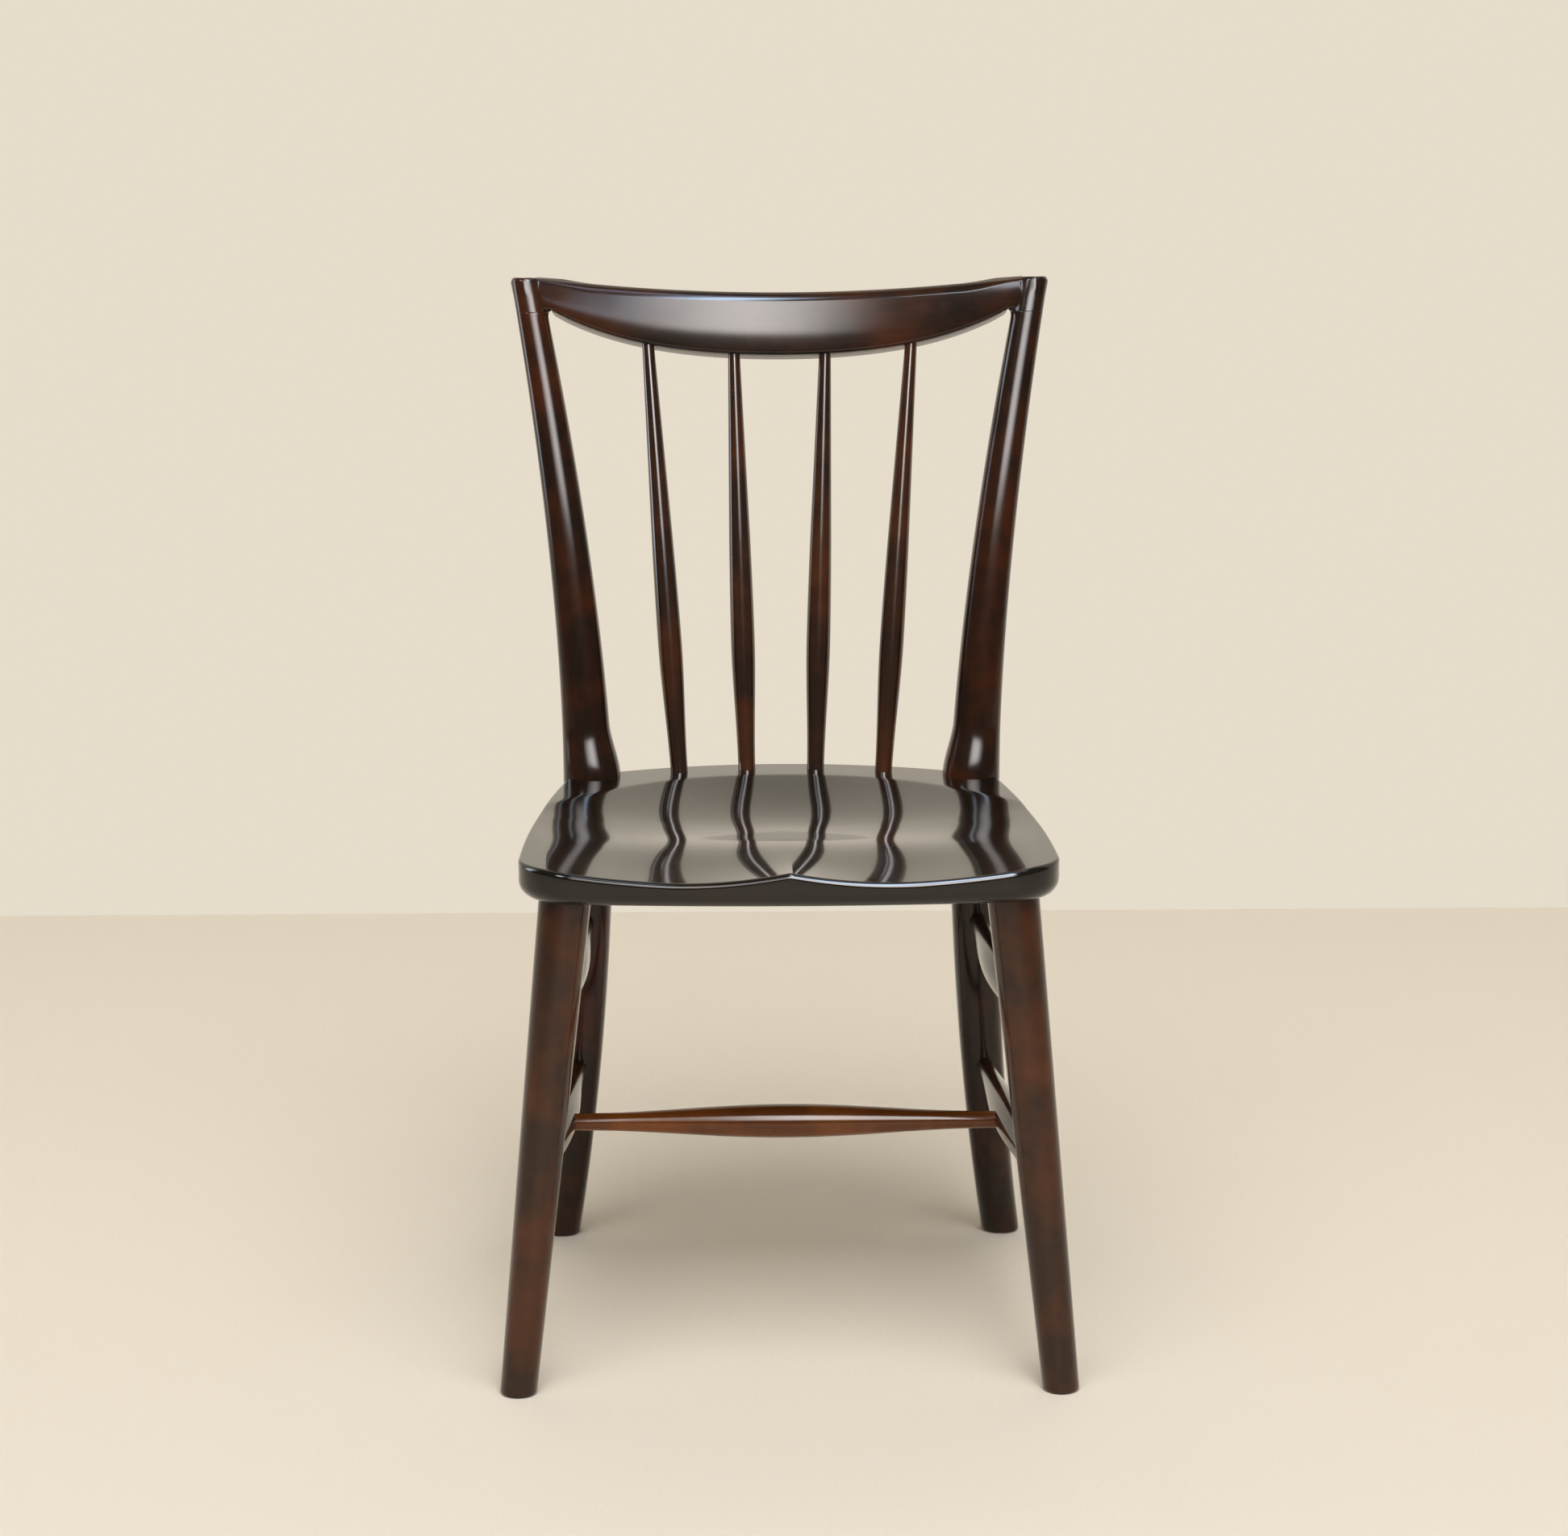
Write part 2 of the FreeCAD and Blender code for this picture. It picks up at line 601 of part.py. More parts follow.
def socket(name, run, diameter, at_end):
    """A bore for a turned piece's tip, open towards the piece's middle."""
    start = "%s - %d" % (run.length, TOOL_MARGIN) if at_end else "0"
    return rod(name, run, start, "%d" % TOOL_MARGIN, bored(diameter))


# Seat with its dish, notches and sockets.

plank = seat_plank()
leg_socket = rod("leg_socket", front_leg_run, "%s - %d" % (front_leg_run.length, TOOL_MARGIN),
                 "%d + sizes.front_tenon_length" % TOOL_MARGIN, bored("sizes.front_tenon_diameter"))
SCREW_LEVEL = WAIST
POST_BACK = "(%s + sizes.post_seat_depth / 2)" % POST_Y


def screw_run(side):
    """Axis of one screw, from the back of the right post forwards; side is -1 or 1."""
    x = "(%s + %d * sizes.screw_spacing / 2)" % (POST_X, side)
    seat_y = "(%s - sizes.plug_bore_depth)" % POST_BACK
    return Run([x, seat_y, SCREW_LEVEL], [x, "(%s - sizes.screw_length)" % seat_y, SCREW_LEVEL])


screw_runs = [screw_run(-1), screw_run(1)]
pilot_holes = [rod("pilot_%d" % number_, run, "0", "sizes.screw_length", bored("sizes.screw_diameter"))
               for number_, run in enumerate(screw_runs)]
spindle_feet = [socket("foot_socket_" + name, run, "sizes.spindle_foot_diameter", False)
                for name, run in SPINDLES.items()]
notch = notch_box()
seat_tools = fused("seat_tools", [notch, leg_socket] + pilot_holes + spindle_feet)
seat_tools_left = mirrored(seat_tools, "seat_tools_left")
dished = cut("dished_plank", plank, dish_cutter())
half_bored = cut("half_bored", dished, seat_tools)
seat = keep(cut("seat", half_bored, seat_tools_left), "seat")

# Front legs: a long cone, trimmed by the floor and by the seat's underside, with a round tenon.

cone = doc.addObject("Part::Cone", "front_leg_cone")
leg_over = "%d" % TOOL_MARGIN
taper = "(sizes.front_leg_diameter - sizes.front_foot_diameter) / 2 / %s" % front_leg_run.length
cone.setExpression("Radius1", "sizes.front_foot_diameter / 2 - %s * %s" % (taper, leg_over))
cone.setExpression("Radius2", "sizes.front_leg_diameter / 2 + %s * %s" % (taper, leg_over))
cone.setExpression("Height", "%s + 2 * %s" % (front_leg_run.length, leg_over))
cone.setExpression("Placement", front_leg_run.placement("-%s" % leg_over))

floor_block = doc.addObject("Part::Box", "floor_block")
seat_block = doc.addObject("Part::Box", "seat_block")
for block in (floor_block, seat_block):
    block.Length = 2 * REACH
    block.Width = 2 * REACH
    block.Height = REACH
floor_block.Placement = FreeCAD.Placement(Vector(-REACH, -REACH, -REACH), FreeCAD.Rotation())
seat_block.setExpression("Placement", "placement(vector(-%d; -%d; %s); rotation(vector(1; 0; 0); "
                         "-sizes.seat_slope))" % (REACH, REACH, seat_under("(-%d)" % REACH)))
trimmed = cut("front_leg_trimmed", cone, fused("leg_trims", [floor_block, seat_block]))
tenon_root = 10
leg_tenon = rod("front_leg_tenon", front_leg_run, "%s - %d" % (front_leg_run.length, tenon_root),
                "%d + sizes.front_tenon_length" % tenon_root, "sizes.front_tenon_diameter")
leg_sockets = [socket("front_socket_" + name, run, "sizes.stretcher_end_diameter", False)
               for name, run in SIDE_STRETCHERS.items()]
front_leg = cut("front_leg", fused("front_leg_blank", [trimmed, leg_tenon]),
                fused("front_leg_bores", leg_sockets))
keep(front_leg, "right_front_leg")
keep(mirrored(front_leg, "front_leg_left"), "left_front_leg")

# Rear posts: each a swept blank from the floor to the top, housed round the seat's corner.

def post_section(height, below):
    """Half sizes and centre of the post's horizontal section at a height."""
    waist = number(WAIST)
    if below:
        share = (waist - height) / waist
        far = "rear_foot"
        centre = point(rear_leg_at(repr(height)))
    else:
        share = (height - waist) / (number(TOP) - waist)
        far = "post_top"
        centre = point(post_at(repr(height)))
    halves = []
    for kind in ("width", "depth"):
        near_size = number("sizes.post_seat_" + kind)
        far_size = number("sizes.%s_%s" % (far, kind))
        halves.append((near_size + (far_size - near_size) * share) / 2)
    return centre, halves


def flare_share(height):
    """One at the seat's top, fading to nothing at the flare's height in an S curve."""
    top = number(seat_top(POST_Y))
    left = min(1, max(0, 1 - (height - top) / number("sizes.flare_height")))
    return left * left * (3 - 2 * left)


def post_wire(height, below):
    """The post's section as a wire, spread inwards and forwards near the seat's top."""
    centre, (half_width, half_depth) = post_section(height, below)
    if not below:
        share = flare_share(height)
        inwards = number("sizes.flare_inwards") * share
        forwards = number("sizes.flare_forwards") * share
        centre = centre - Vector(inwards / 2, forwards / 2, 0)
        half_width += inwards / 2
        half_depth += forwards / 2
    corner = number("sizes.post_roundness") * half_depth
    return rounded_section(centre, Vector(1, 0, 0), Vector(0, 1, 0), half_width, half_depth, corner)


def post_blank():
    """Lofts through the sections of the leg below the seat and of the post above it."""
    waist = number(WAIST)
    top = number(TOP)
    seat_level = number(seat_top(POST_Y))
    flare = number("sizes.flare_height")
    leg_steps = 7
    leg_heights = [waist * step / leg_steps for step in range(leg_steps + 1)]
    flare_heights = [waist] + [seat_level + flare * share for share in (0, 0.25, 0.5, 0.75, 1)]
    post_steps = 7
    rest = [flare_heights[-1] + (top - flare_heights[-1]) * step / post_steps
            for step in range(1, post_steps + 1)]
    leg = Part.makeLoft([post_wire(height, True) for height in leg_heights], True, False)
    post = Part.makeLoft([post_wire(height, False) for height in flare_heights + rest], True, False)
    return plain_feature("post_blank", leg.fuse(post))


blank = post_blank()
above_seam = doc.addObject("Part::Box", "above_seam")
above_seam.Length = REACH
above_seam.Width = 2 * REACH
above_seam.Height = REACH
above_seam.setExpression("Placement", "placement(vector(0; -%d; %s); rotation(vector(0; 0; 1); 0))"
                         % (REACH, SEAM))

seam_low = post_at("%s - sizes.dowel_length / 2" % SEAM)
seam_high = post_at("%s + sizes.dowel_length / 2" % SEAM)


def dowel_run(side):
    """Axis of one dowel across the seam, along the post; side is -1 or 1."""
    shift = " + %d * sizes.dowel_spacing / 2" % side
    low = ["(%s%s)" % (seam_low[0], shift), seam_low[1], seam_low[2]]
    high = ["(%s%s)" % (seam_high[0], shift), seam_high[1], seam_high[2]]
    return Run(low, high)


dowel_runs = [dowel_run(-1), dowel_run(1)]
dowel_holes = [rod("dowel_hole_%d" % index, run, "0", run.length, bored("sizes.dowel_diameter"))
               for index, run in enumerate(dowel_runs)]
post_sockets = [socket("rear_socket_" + name, run, "sizes.stretcher_end_diameter", True)
                for name, run in SIDE_STRETCHERS.items()]
plug_bores = [rod("plug_bore_%d" % index, run, "-%d" % TOOL_MARGIN, "%d" % TOOL_MARGIN,
                  bored("sizes.plug_diameter")) for index, run in enumerate(screw_runs)]
shank_holes = [rod("shank_hole_%d" % index, run, "-1", "sizes.screw_length + 1",
                   bored("sizes.screw_diameter")) for index, run in enumerate(screw_runs)]
housed = cut("post_housed", blank, cut("seat_corner", plank, notch))
post_tools = fused("post_tools", [above_seam] + dowel_holes + post_sockets + plug_bores + shank_holes)
rear_post = keep(cut("rear_post", housed, post_tools), "right_rear_post")
keep(mirrored(rear_post, "rear_post_left"), "left_rear_post")

# Crest rail: a crescent between two horns, each horn the last length of a post's blank.

def crest_wire(x):
    """The crest rail's section at x: leaning like the posts, as high as the two edges are apart."""
    low = number(crest_bottom(repr(x)))
    high = number(crest_top(repr(x)))
    foot = Vector(x, number(crest_middle_y(repr(x), repr(low))), low)
    head = Vector(x, number(crest_middle_y(repr(x), repr(high))), high)
    up = (head - foot).normalize()
    out = Vector(1, 0, 0).cross(up)
    half_height = (head - foot).Length / 2
    half_thickness = number("sizes.crest_thickness") / 2
    corner = number("sizes.crest_roundness") * half_thickness
    return rounded_section((foot + head) * 0.5, out, up, half_thickness, half_height, corner)


def crescent():
    """A loft through sections from the middle of one horn to the middle of the other."""
    reach = number("%s + sizes.post_top_width / 6" % CREST_HALF)
    steps = 7
    stations = [reach * step / steps for step in range(-steps, steps + 1)]
    return plain_feature("crescent", Part.makeLoft([crest_wire(x) for x in stations], True, False))


right_horn = common("right_horn", blank, above_seam)
left_horn = mirrored(right_horn, "left_horn")
crest_blank = fused("crest_blank", [crescent(), right_horn, left_horn])
spindle_heads = [socket("head_socket_" + name, run, "sizes.spindle_top_diameter", True)
                 for name, run in SPINDLES.items()]
crest_bores = fused("crest_bores", spindle_heads + dowel_holes)
crest_bores_left = mirrored(crest_bores, "crest_bores_left")
crest_half = cut("crest_half_bored", crest_blank, crest_bores)
keep(cut("crest_rail", crest_half, crest_bores_left), "crest_rail")

# Spindles.

for name, run in SPINDLES.items():
    spindle = turned_body("%s_spindle" % name, spindle_stations(run.length), run)
    keep(spindle, "right_%s_spindle" % name)
    keep(mirrored(spindle, "%s_spindle_left" % name), "left_%s_spindle" % name)

# Side stretchers; the lower ones are bored for the cross stretcher.

for name, run in SIDE_STRETCHERS.items():
    stretcher = turned_body("%s_turning" % name, swelled_stations(run.length, "sizes.stretcher_tenon"), run)
    if name == "lower":
        cross_socket = socket("cross_socket", cross_run, "sizes.stretcher_end_diameter", True)
        stretcher = cut("lower_stretcher", stretcher, cross_socket)
    keep(stretcher, "right_%s_stretcher" % name)
    keep(mirrored(stretcher, "%s_stretcher_left" % name), "left_%s_stretcher" % name)
keep(turned_body("cross_stretcher", swelled_stations(cross_run.length, "sizes.cross_tenon"), cross_run),
     "cross_stretcher")

# Hidden joinery: dowels under the crest rail, screws through the posts, and plugs over the screws.

def both_sides(name, items):
    """One node with the right pieces and their mirror images."""
    right = gathered(name + "_right", items)
    return keep(gathered(name, [right, mirrored(right, name + "_left")]), name)


both_sides("crest_dowels", [rod("dowel_%d" % index, run, "0", run.length, "sizes.dowel_diameter")
                            for index, run in enumerate(dowel_runs)])
screws = []
for index, run in enumerate(screw_runs):
    shank = rod("screw_shank_%d" % index, run, "0", "sizes.screw_length", "sizes.screw_diameter")
    head = rod("screw_head_%d" % index, run, "-sizes.screw_head_height", "sizes.screw_head_height",
               "sizes.screw_head_diameter")
    screws.append(fused("screw_%d" % index, [shank, head]))
both_sides("seat_screws", screws)
plugs = []
for index, run in enumerate(screw_runs):
    peg = rod("plug_rod_%d" % index, run, "-%d" % TOOL_MARGIN, "%d - sizes.screw_head_height" % TOOL_MARGIN,
              "sizes.plug_diameter")
    plugs.append(common("plug_%d" % index, blank, peg))
both_sides("screw_plugs", plugs)

doc.recompute()
for item in doc.Objects:
    if "Invalid" in item.State or "Error" in item.State:
        raise RuntimeError("failed object: %s %s" % (item.Name, item.State))
finished = [doc.getObjectsByLabel(label)[0] for label in MAIN_LABELS]
for item in finished:
    if item.Shape.isNull() or not item.Shape.isValid():
        raise RuntimeError("bad shape: " + item.Label)
os.makedirs("parts", exist_ok=True)
whole = FreeCAD.BoundBox()
for item in finished:
    item.Shape.exportStep("parts/%s.step" % item.Label)
    whole.add(item.Shape.BoundBox)
    print(item.Label, "solids", len(item.Shape.Solids), "volume", round(item.Shape.Volume))
print("box", [round(value, 2) for value in (whole.XMin, whole.XMax, whole.YMin, whole.YMax, whole.ZMin,
                                            whole.ZMax)])
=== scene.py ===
# The dining chair's looks: smooth lacquered wood in place of the plain CAD surfaces.
# Shapes are worked out in millimetres, in the CAD's frame, and written to the meshes in metres.
import math
import bpy
import numpy as np
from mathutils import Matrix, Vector


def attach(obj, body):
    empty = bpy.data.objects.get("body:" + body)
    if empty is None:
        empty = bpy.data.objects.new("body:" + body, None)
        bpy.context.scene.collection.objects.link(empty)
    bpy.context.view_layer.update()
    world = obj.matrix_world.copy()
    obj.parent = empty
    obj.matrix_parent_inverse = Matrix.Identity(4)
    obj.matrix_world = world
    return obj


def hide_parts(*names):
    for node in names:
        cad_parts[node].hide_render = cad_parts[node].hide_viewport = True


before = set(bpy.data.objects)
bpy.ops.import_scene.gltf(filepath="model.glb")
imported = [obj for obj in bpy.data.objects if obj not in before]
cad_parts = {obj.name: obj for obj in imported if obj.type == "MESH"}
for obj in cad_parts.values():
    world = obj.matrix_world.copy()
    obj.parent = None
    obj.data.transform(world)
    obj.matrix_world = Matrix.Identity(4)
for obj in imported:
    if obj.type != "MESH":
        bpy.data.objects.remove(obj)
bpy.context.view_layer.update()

# The chair's sizes, as in its CAD source.

SLOPE = math.radians(1.4)
SEAT_FRONT, SEAT_DEPTH, SEAT_HEIGHT, SEAT_THICK = -240.6, 407.5, 444.0, 30.0
LEG_X, LEG_Y, LEG_SPLAY, LEG_RAKE = 181.8, -194.6, 42.0, 38.0
POST_X, POST_Y = 169.6, 126.4
TOP, SEAM = 862.0, 833.0
CREST_HALF, CREST_BOW = 210.0, 32.0
FRONT_RADIUS, SIDE_RADIUS, BACK_RADIUS = 1800.0, 1830.0, 372.0
HALF_WIDTH, WIDEST, CORNER, REAR_CORNER = 220.5, 8.0, 48.0, 18.0


def seat_level(y):
    """Height of the seat's flat top: it falls towards the back."""
    return SEAT_HEIGHT - math.tan(SLOPE) * (y - SEAT_FRONT)


WAIST = seat_level(POST_Y) - SEAT_THICK / 2
LEG_TOP = seat_level(LEG_Y) - SEAT_THICK / math.cos(SLOPE)


# Curves that the shapes are made of.

def ease(t):
    """An S curve from 0 to 1."""
    t = np.clip(t, 0, 1)
    return t * t * (3 - 2 * t)


def bell(t, middle, spread):
    """A bell curve of height 1."""
    return np.exp(-((t - middle) / spread) ** 2)


def fading(t, run):
    """A parabola that falls from 1 at t = 0 to 0 at t = run, and stays 0 past it."""
    return np.clip(1 - t / run, 0, None) ** 2


def superellipse(t, power):
    """The quarter of a superellipse from 1 at t = 0 to 0 at t = 1, and below 0 past it."""
    t = np.abs(t)
    return np.sign(1 - t) * np.abs(1 - t ** power) ** (1 / power)


def quarter_round(t):
    """How far a quarter circle of radius 1 has fallen at t, from 0 at t = 0 to 1 at t = 1."""
    return 1 - np.sqrt(np.clip(1 - np.clip(t, 0, 1) ** 2, 0, 1))


def smooth_most(a, b, reach):
    """The larger of two values, with the change from one to the other rounded over a reach."""
    near = np.clip(1 - np.abs(a - b) / reach, 0, 1)
    return np.maximum(a, b) + reach * near ** 3 / 6


def last_inside(inside, low, high, halvings):
    """For each place, the last value between low and high that is still inside, found by halving."""
    for _ in range(halvings):
        half = (low + high) / 2
        solid = inside(half)
        low, high = np.where(solid, half, low), np.where(solid, high, half)
    return low


# Helpers that turn grids of points into pieces.

SHARP = math.radians(50)


def skin(rings):
    """Points and faces of a closed skin over rings (ring, around, xyz), with a fan at each end.
    Faces point outwards: the order is turned where the enclosed volume comes out negative."""
    count, around = rings.shape[:2]
    middles = np.stack([rings[0].mean(axis=0), rings[-1].mean(axis=0)])
    points = np.concatenate([rings.reshape(-1, 3), middles])
    ring = np.arange(count - 1)[:, None] * around
    here = np.arange(around)[None, :]
    after = (here + 1) % around
    quads = [ring + here, ring + after, ring + around + after, ring + around + here]
    quads = np.stack(quads, axis=-1).reshape(-1, 4)
    last = (count - 1) * around
    first_tip, last_tip = np.full(around, count * around), np.full(around, count * around + 1)
    first_fan = np.stack([after[0], here[0], first_tip], axis=-1)
    last_fan = np.stack([last + here[0], last + after[0], last_tip], axis=-1)
    corners = points[quads]
    areas = np.cross(corners[:, 2] - corners[:, 0], corners[:, 3] - corners[:, 1]) / 2
    volume = (areas * (corners.mean(axis=1) - points.mean(axis=0))).sum()
    parts = [quads, first_fan, last_fan]
    return points, [part[:, ::-1] for part in parts] if volume < 0 else parts


def make(name, skins, nodes, material):
    """A closed, smooth-shaded mesh of one or more skins that rides on the chair and stands for its
    CAD nodes."""
    points, faces, start = [], [], 0
    for part_points, parts in skins:
        points.append(part_points)
        for part in parts:
            faces += (part + start).tolist()
        start += len(part_points)
    mesh = bpy.data.meshes.new(name)
    mesh.from_pydata((np.concatenate(points) * 0.001).tolist(), [], faces)
    mesh.update()
    mesh.shade_smooth()
    mesh.set_sharp_from_angle(angle=SHARP)
    item = bpy.data.objects.new(name, mesh)
    bpy.context.collection.objects.link(item)
    mesh.materials.append(material)
    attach(item, "root")
    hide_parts(*nodes)


def mirrored(rings):
    """The same rings on the other side of the middle plane."""
    return rings * np.array([-1.0, 1.0, 1.0])


def make_pair(name, node, rings, material):
    """A right piece and its mirror image on the left."""
    make(name + "_right", [skin(rings)], ["right_" + node], material)
    make(name + "_left", [skin(mirrored(rings))], ["left_" + node], material)


def round_angles(count):
    """Even angles once round."""
    return np.linspace(0, 2 * np.pi, count, endpoint=False)


def turned(start, end, stations, around=64):
    """Rings of a piece turned about the line from start to end. Stations are distances along the
    line with a radius each, as two arrays."""
    start, end = np.array(start, float), np.array(end, float)
    along = (end - start) / np.linalg.norm(end - start)
    side = np.cross(along, [0.0, 1.0, 0.0] if abs(along[1]) < 0.9 else [1.0, 0.0, 0.0])
    side /= np.linalg.norm(side)
    other = np.cross(along, side)
    angle = round_angles(around)
    spokes = np.cos(angle)[:, None] * side + np.sin(angle)[:, None] * other
    distance, radius = stations
    return start + distance[:, None, None] * along + radius[:, None, None] * spokes[None]


def level_rings(x, y, heights):
    """Rings that each lie at one height."""
    return np.stack([x, y, np.repeat(heights[:, None], x.shape[1], axis=1)], axis=-1)


# Materials.

def blank(name):
    """A new node material, its tree and its main shader."""
    material = bpy.data.materials.new(name)
    material.use_nodes = True
    return material, material.node_tree, material.node_tree.nodes["Principled BSDF"]


def add(tree, kind, **inputs):
    """A new node with values for some of its inputs."""
    made = tree.nodes.new("ShaderNode" + kind)
    for key, value in inputs.items():
        made.inputs[key.replace("_", " ")].default_value = value
    return made


def noise(tree, place, **inputs):
    """The strength of a noise at a place."""
    made = add(tree, "TexNoise", **inputs)
    tree.links.new(place, made.inputs["Vector"])
    return made.outputs["Fac"]


def remap(tree, value, **inputs):
    """A value carried from one range to another."""
    made = add(tree, "MapRange", **inputs)
    tree.links.new(value, made.inputs["Value"])
    return made.outputs["Result"]


def blend(tree, share, first, second):
    """The mix of two colours by a share."""
    made = tree.nodes.new("ShaderNodeMix")
    made.data_type = "RGBA"
    made.inputs["A"].default_value = (*first, 1)
    made.inputs["B"].default_value = (*second, 1)
    tree.links.new(share, made.inputs["Factor"])
    return made.outputs["Result"]


def object_place(tree):
    """The place on the object."""
    return tree.nodes.new("ShaderNodeTexCoord").outputs["Object"]


def wood_lacquer(name, grain, deep, warm, streak, warmth, rough=0.22, waves=0.04, haze=0.12,
                 gloss_index=1.38):
    """Dark stain over wood under gloss lacquer. Fine streaks run along the piece, broad clouds let
    the warm wood through, and the coat has a faint ripple. Grain is the streaks' direction, streak
    their fineness, warmth how far the clouds go from the deep colour to the warm one, rough the
    wood's roughness, waves the ripple's height, haze the coat's roughness and gloss_index its
    refractive index."""
    material, tree, shader = blank(name)
    links = tree.links
    place = object_place(tree)
    drawn_out = add(tree, "Mapping", Scale=grain)
    links.new(place, drawn_out.inputs["Vector"])
    fibres = noise(tree, drawn_out.outputs["Vector"], Scale=streak, Detail=6, Roughness=0.62)
    clouds = noise(tree, place, Scale=15, Detail=3, Roughness=0.6)
    ripple = noise(tree, place, Scale=34, Detail=1)
    spread = remap(tree, clouds, From_Min=0.44, From_Max=0.72, To_Max=warmth)
    lines = remap(tree, fibres, From_Min=0.3, From_Max=0.72)
    gloss = remap(tree, lines, To_Min=rough - 0.04, To_Max=rough + 0.06)
    share = tree.nodes.new("ShaderNodeMath")
    share.operation = "MULTIPLY_ADD"
    share.inputs[1].default_value = 0.16
    links.new(lines, share.inputs[0])
    links.new(spread, share.inputs[2])
    links.new(blend(tree, share.outputs["Value"], deep, warm), shader.inputs["Base Color"])
    links.new(gloss, shader.inputs["Roughness"])
    swell = add(tree, "Bump", Strength=waves, Distance=0.001)
    pores = add(tree, "Bump", Strength=0.015, Distance=0.0002)
    links.new(ripple, swell.inputs["Height"])
    links.new(fibres, pores.inputs["Height"])
    links.new(swell.outputs["Normal"], pores.inputs["Normal"])
    links.new(pores.outputs["Normal"], shader.inputs["Normal"])
    links.new(swell.outputs["Normal"], shader.inputs["Coat Normal"])
    shader.inputs["Coat Weight"].default_value = 1.0
    shader.inputs["Coat Roughness"].default_value = haze
    shader.inputs["Coat IOR"].default_value = gloss_index
    shader.inputs["Specular IOR Level"].default_value = 0.05
    return material


UPRIGHT, ACROSS, ALONG = (1, 1, 0.045), (0.045, 1, 1), (1, 0.045, 1)
seat_wood = wood_lacquer("seat_wood", ALONG, (0.006, 0.005, 0.003), (0.024, 0.011, 0.004), 60, 0.5,
                         rough=0.16, waves=0.03, haze=0.05, gloss_index=1.43)
post_wood = wood_lacquer("post_wood", UPRIGHT, (0.011, 0.007, 0.004), (0.105, 0.022, 0.004), 90, 0.42,
                         gloss_index=1.34)
leg_wood = wood_lacquer("leg_wood", UPRIGHT, (0.024, 0.010, 0.004), (0.120, 0.029, 0.005), 90, 0.55)
crest_wood = wood_lacquer("crest_wood", ACROSS, (0.011, 0.007, 0.004), (0.100, 0.025, 0.005), 90, 0.42,
                          rough=0.26, waves=0.05)
spindle_wood = wood_lacquer("spindle_wood", UPRIGHT, (0.018, 0.008, 0.003), (0.110, 0.028, 0.005),
                            120, 0.5, rough=0.2, haze=0.1, gloss_index=1.6)
cross_wood = wood_lacquer("cross_wood", ACROSS, (0.110, 0.032, 0.006), (0.300, 0.085, 0.014), 110, 0.6)
side_wood = wood_lacquer("side_wood", ALONG, (0.016, 0.008, 0.003), (0.100, 0.026, 0.005), 110, 0.5)


def bare_beech():
    """Pale unfinished beech with fine lines, for the dowels hidden in the back."""
    material, tree, shader = blank("bare_beech_grain")
    lines = noise(tree, object_place(tree), Scale=400, Detail=4)
    colour = blend(tree, lines, (0.55, 0.38, 0.22), (0.68, 0.50, 0.32))
    tree.links.new(colour, shader.inputs["Base Color"])
    shader.inputs["Roughness"].default_value = 0.7
    return material


def zinc_plate():
    """Zinc plated steel with a fine mottle in its polish, for the screws hidden in the posts."""
    material, tree, shader = blank("zinc_plate")
    mottle = noise(tree, object_place(tree), Scale=500)
    tree.links.new(remap(tree, mottle, To_Min=0.25, To_Max=0.45), shader.inputs["Roughness"])
    shader.inputs["Base Color"].default_value = (0.62, 0.62, 0.60, 1)
    shader.inputs["Metallic"].default_value = 1.0
    return material


for name, finish in (("crest_dowels", bare_beech()), ("seat_screws", zinc_plate())):
    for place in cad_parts[name].material_slots:
        place.material = finish


# Seat.

def seat_frame(points):
    """From the seat's own frame, y from the front edge and z from its flat top, to the chair's."""
    x, y, z = points[..., 0], points[..., 1], points[..., 2]
    c, s = math.cos(SLOPE), math.sin(SLOPE)
    return np.stack([x, SEAT_FRONT + y * c + z * s, SEAT_HEIGHT - y * s + z * c], axis=-1)


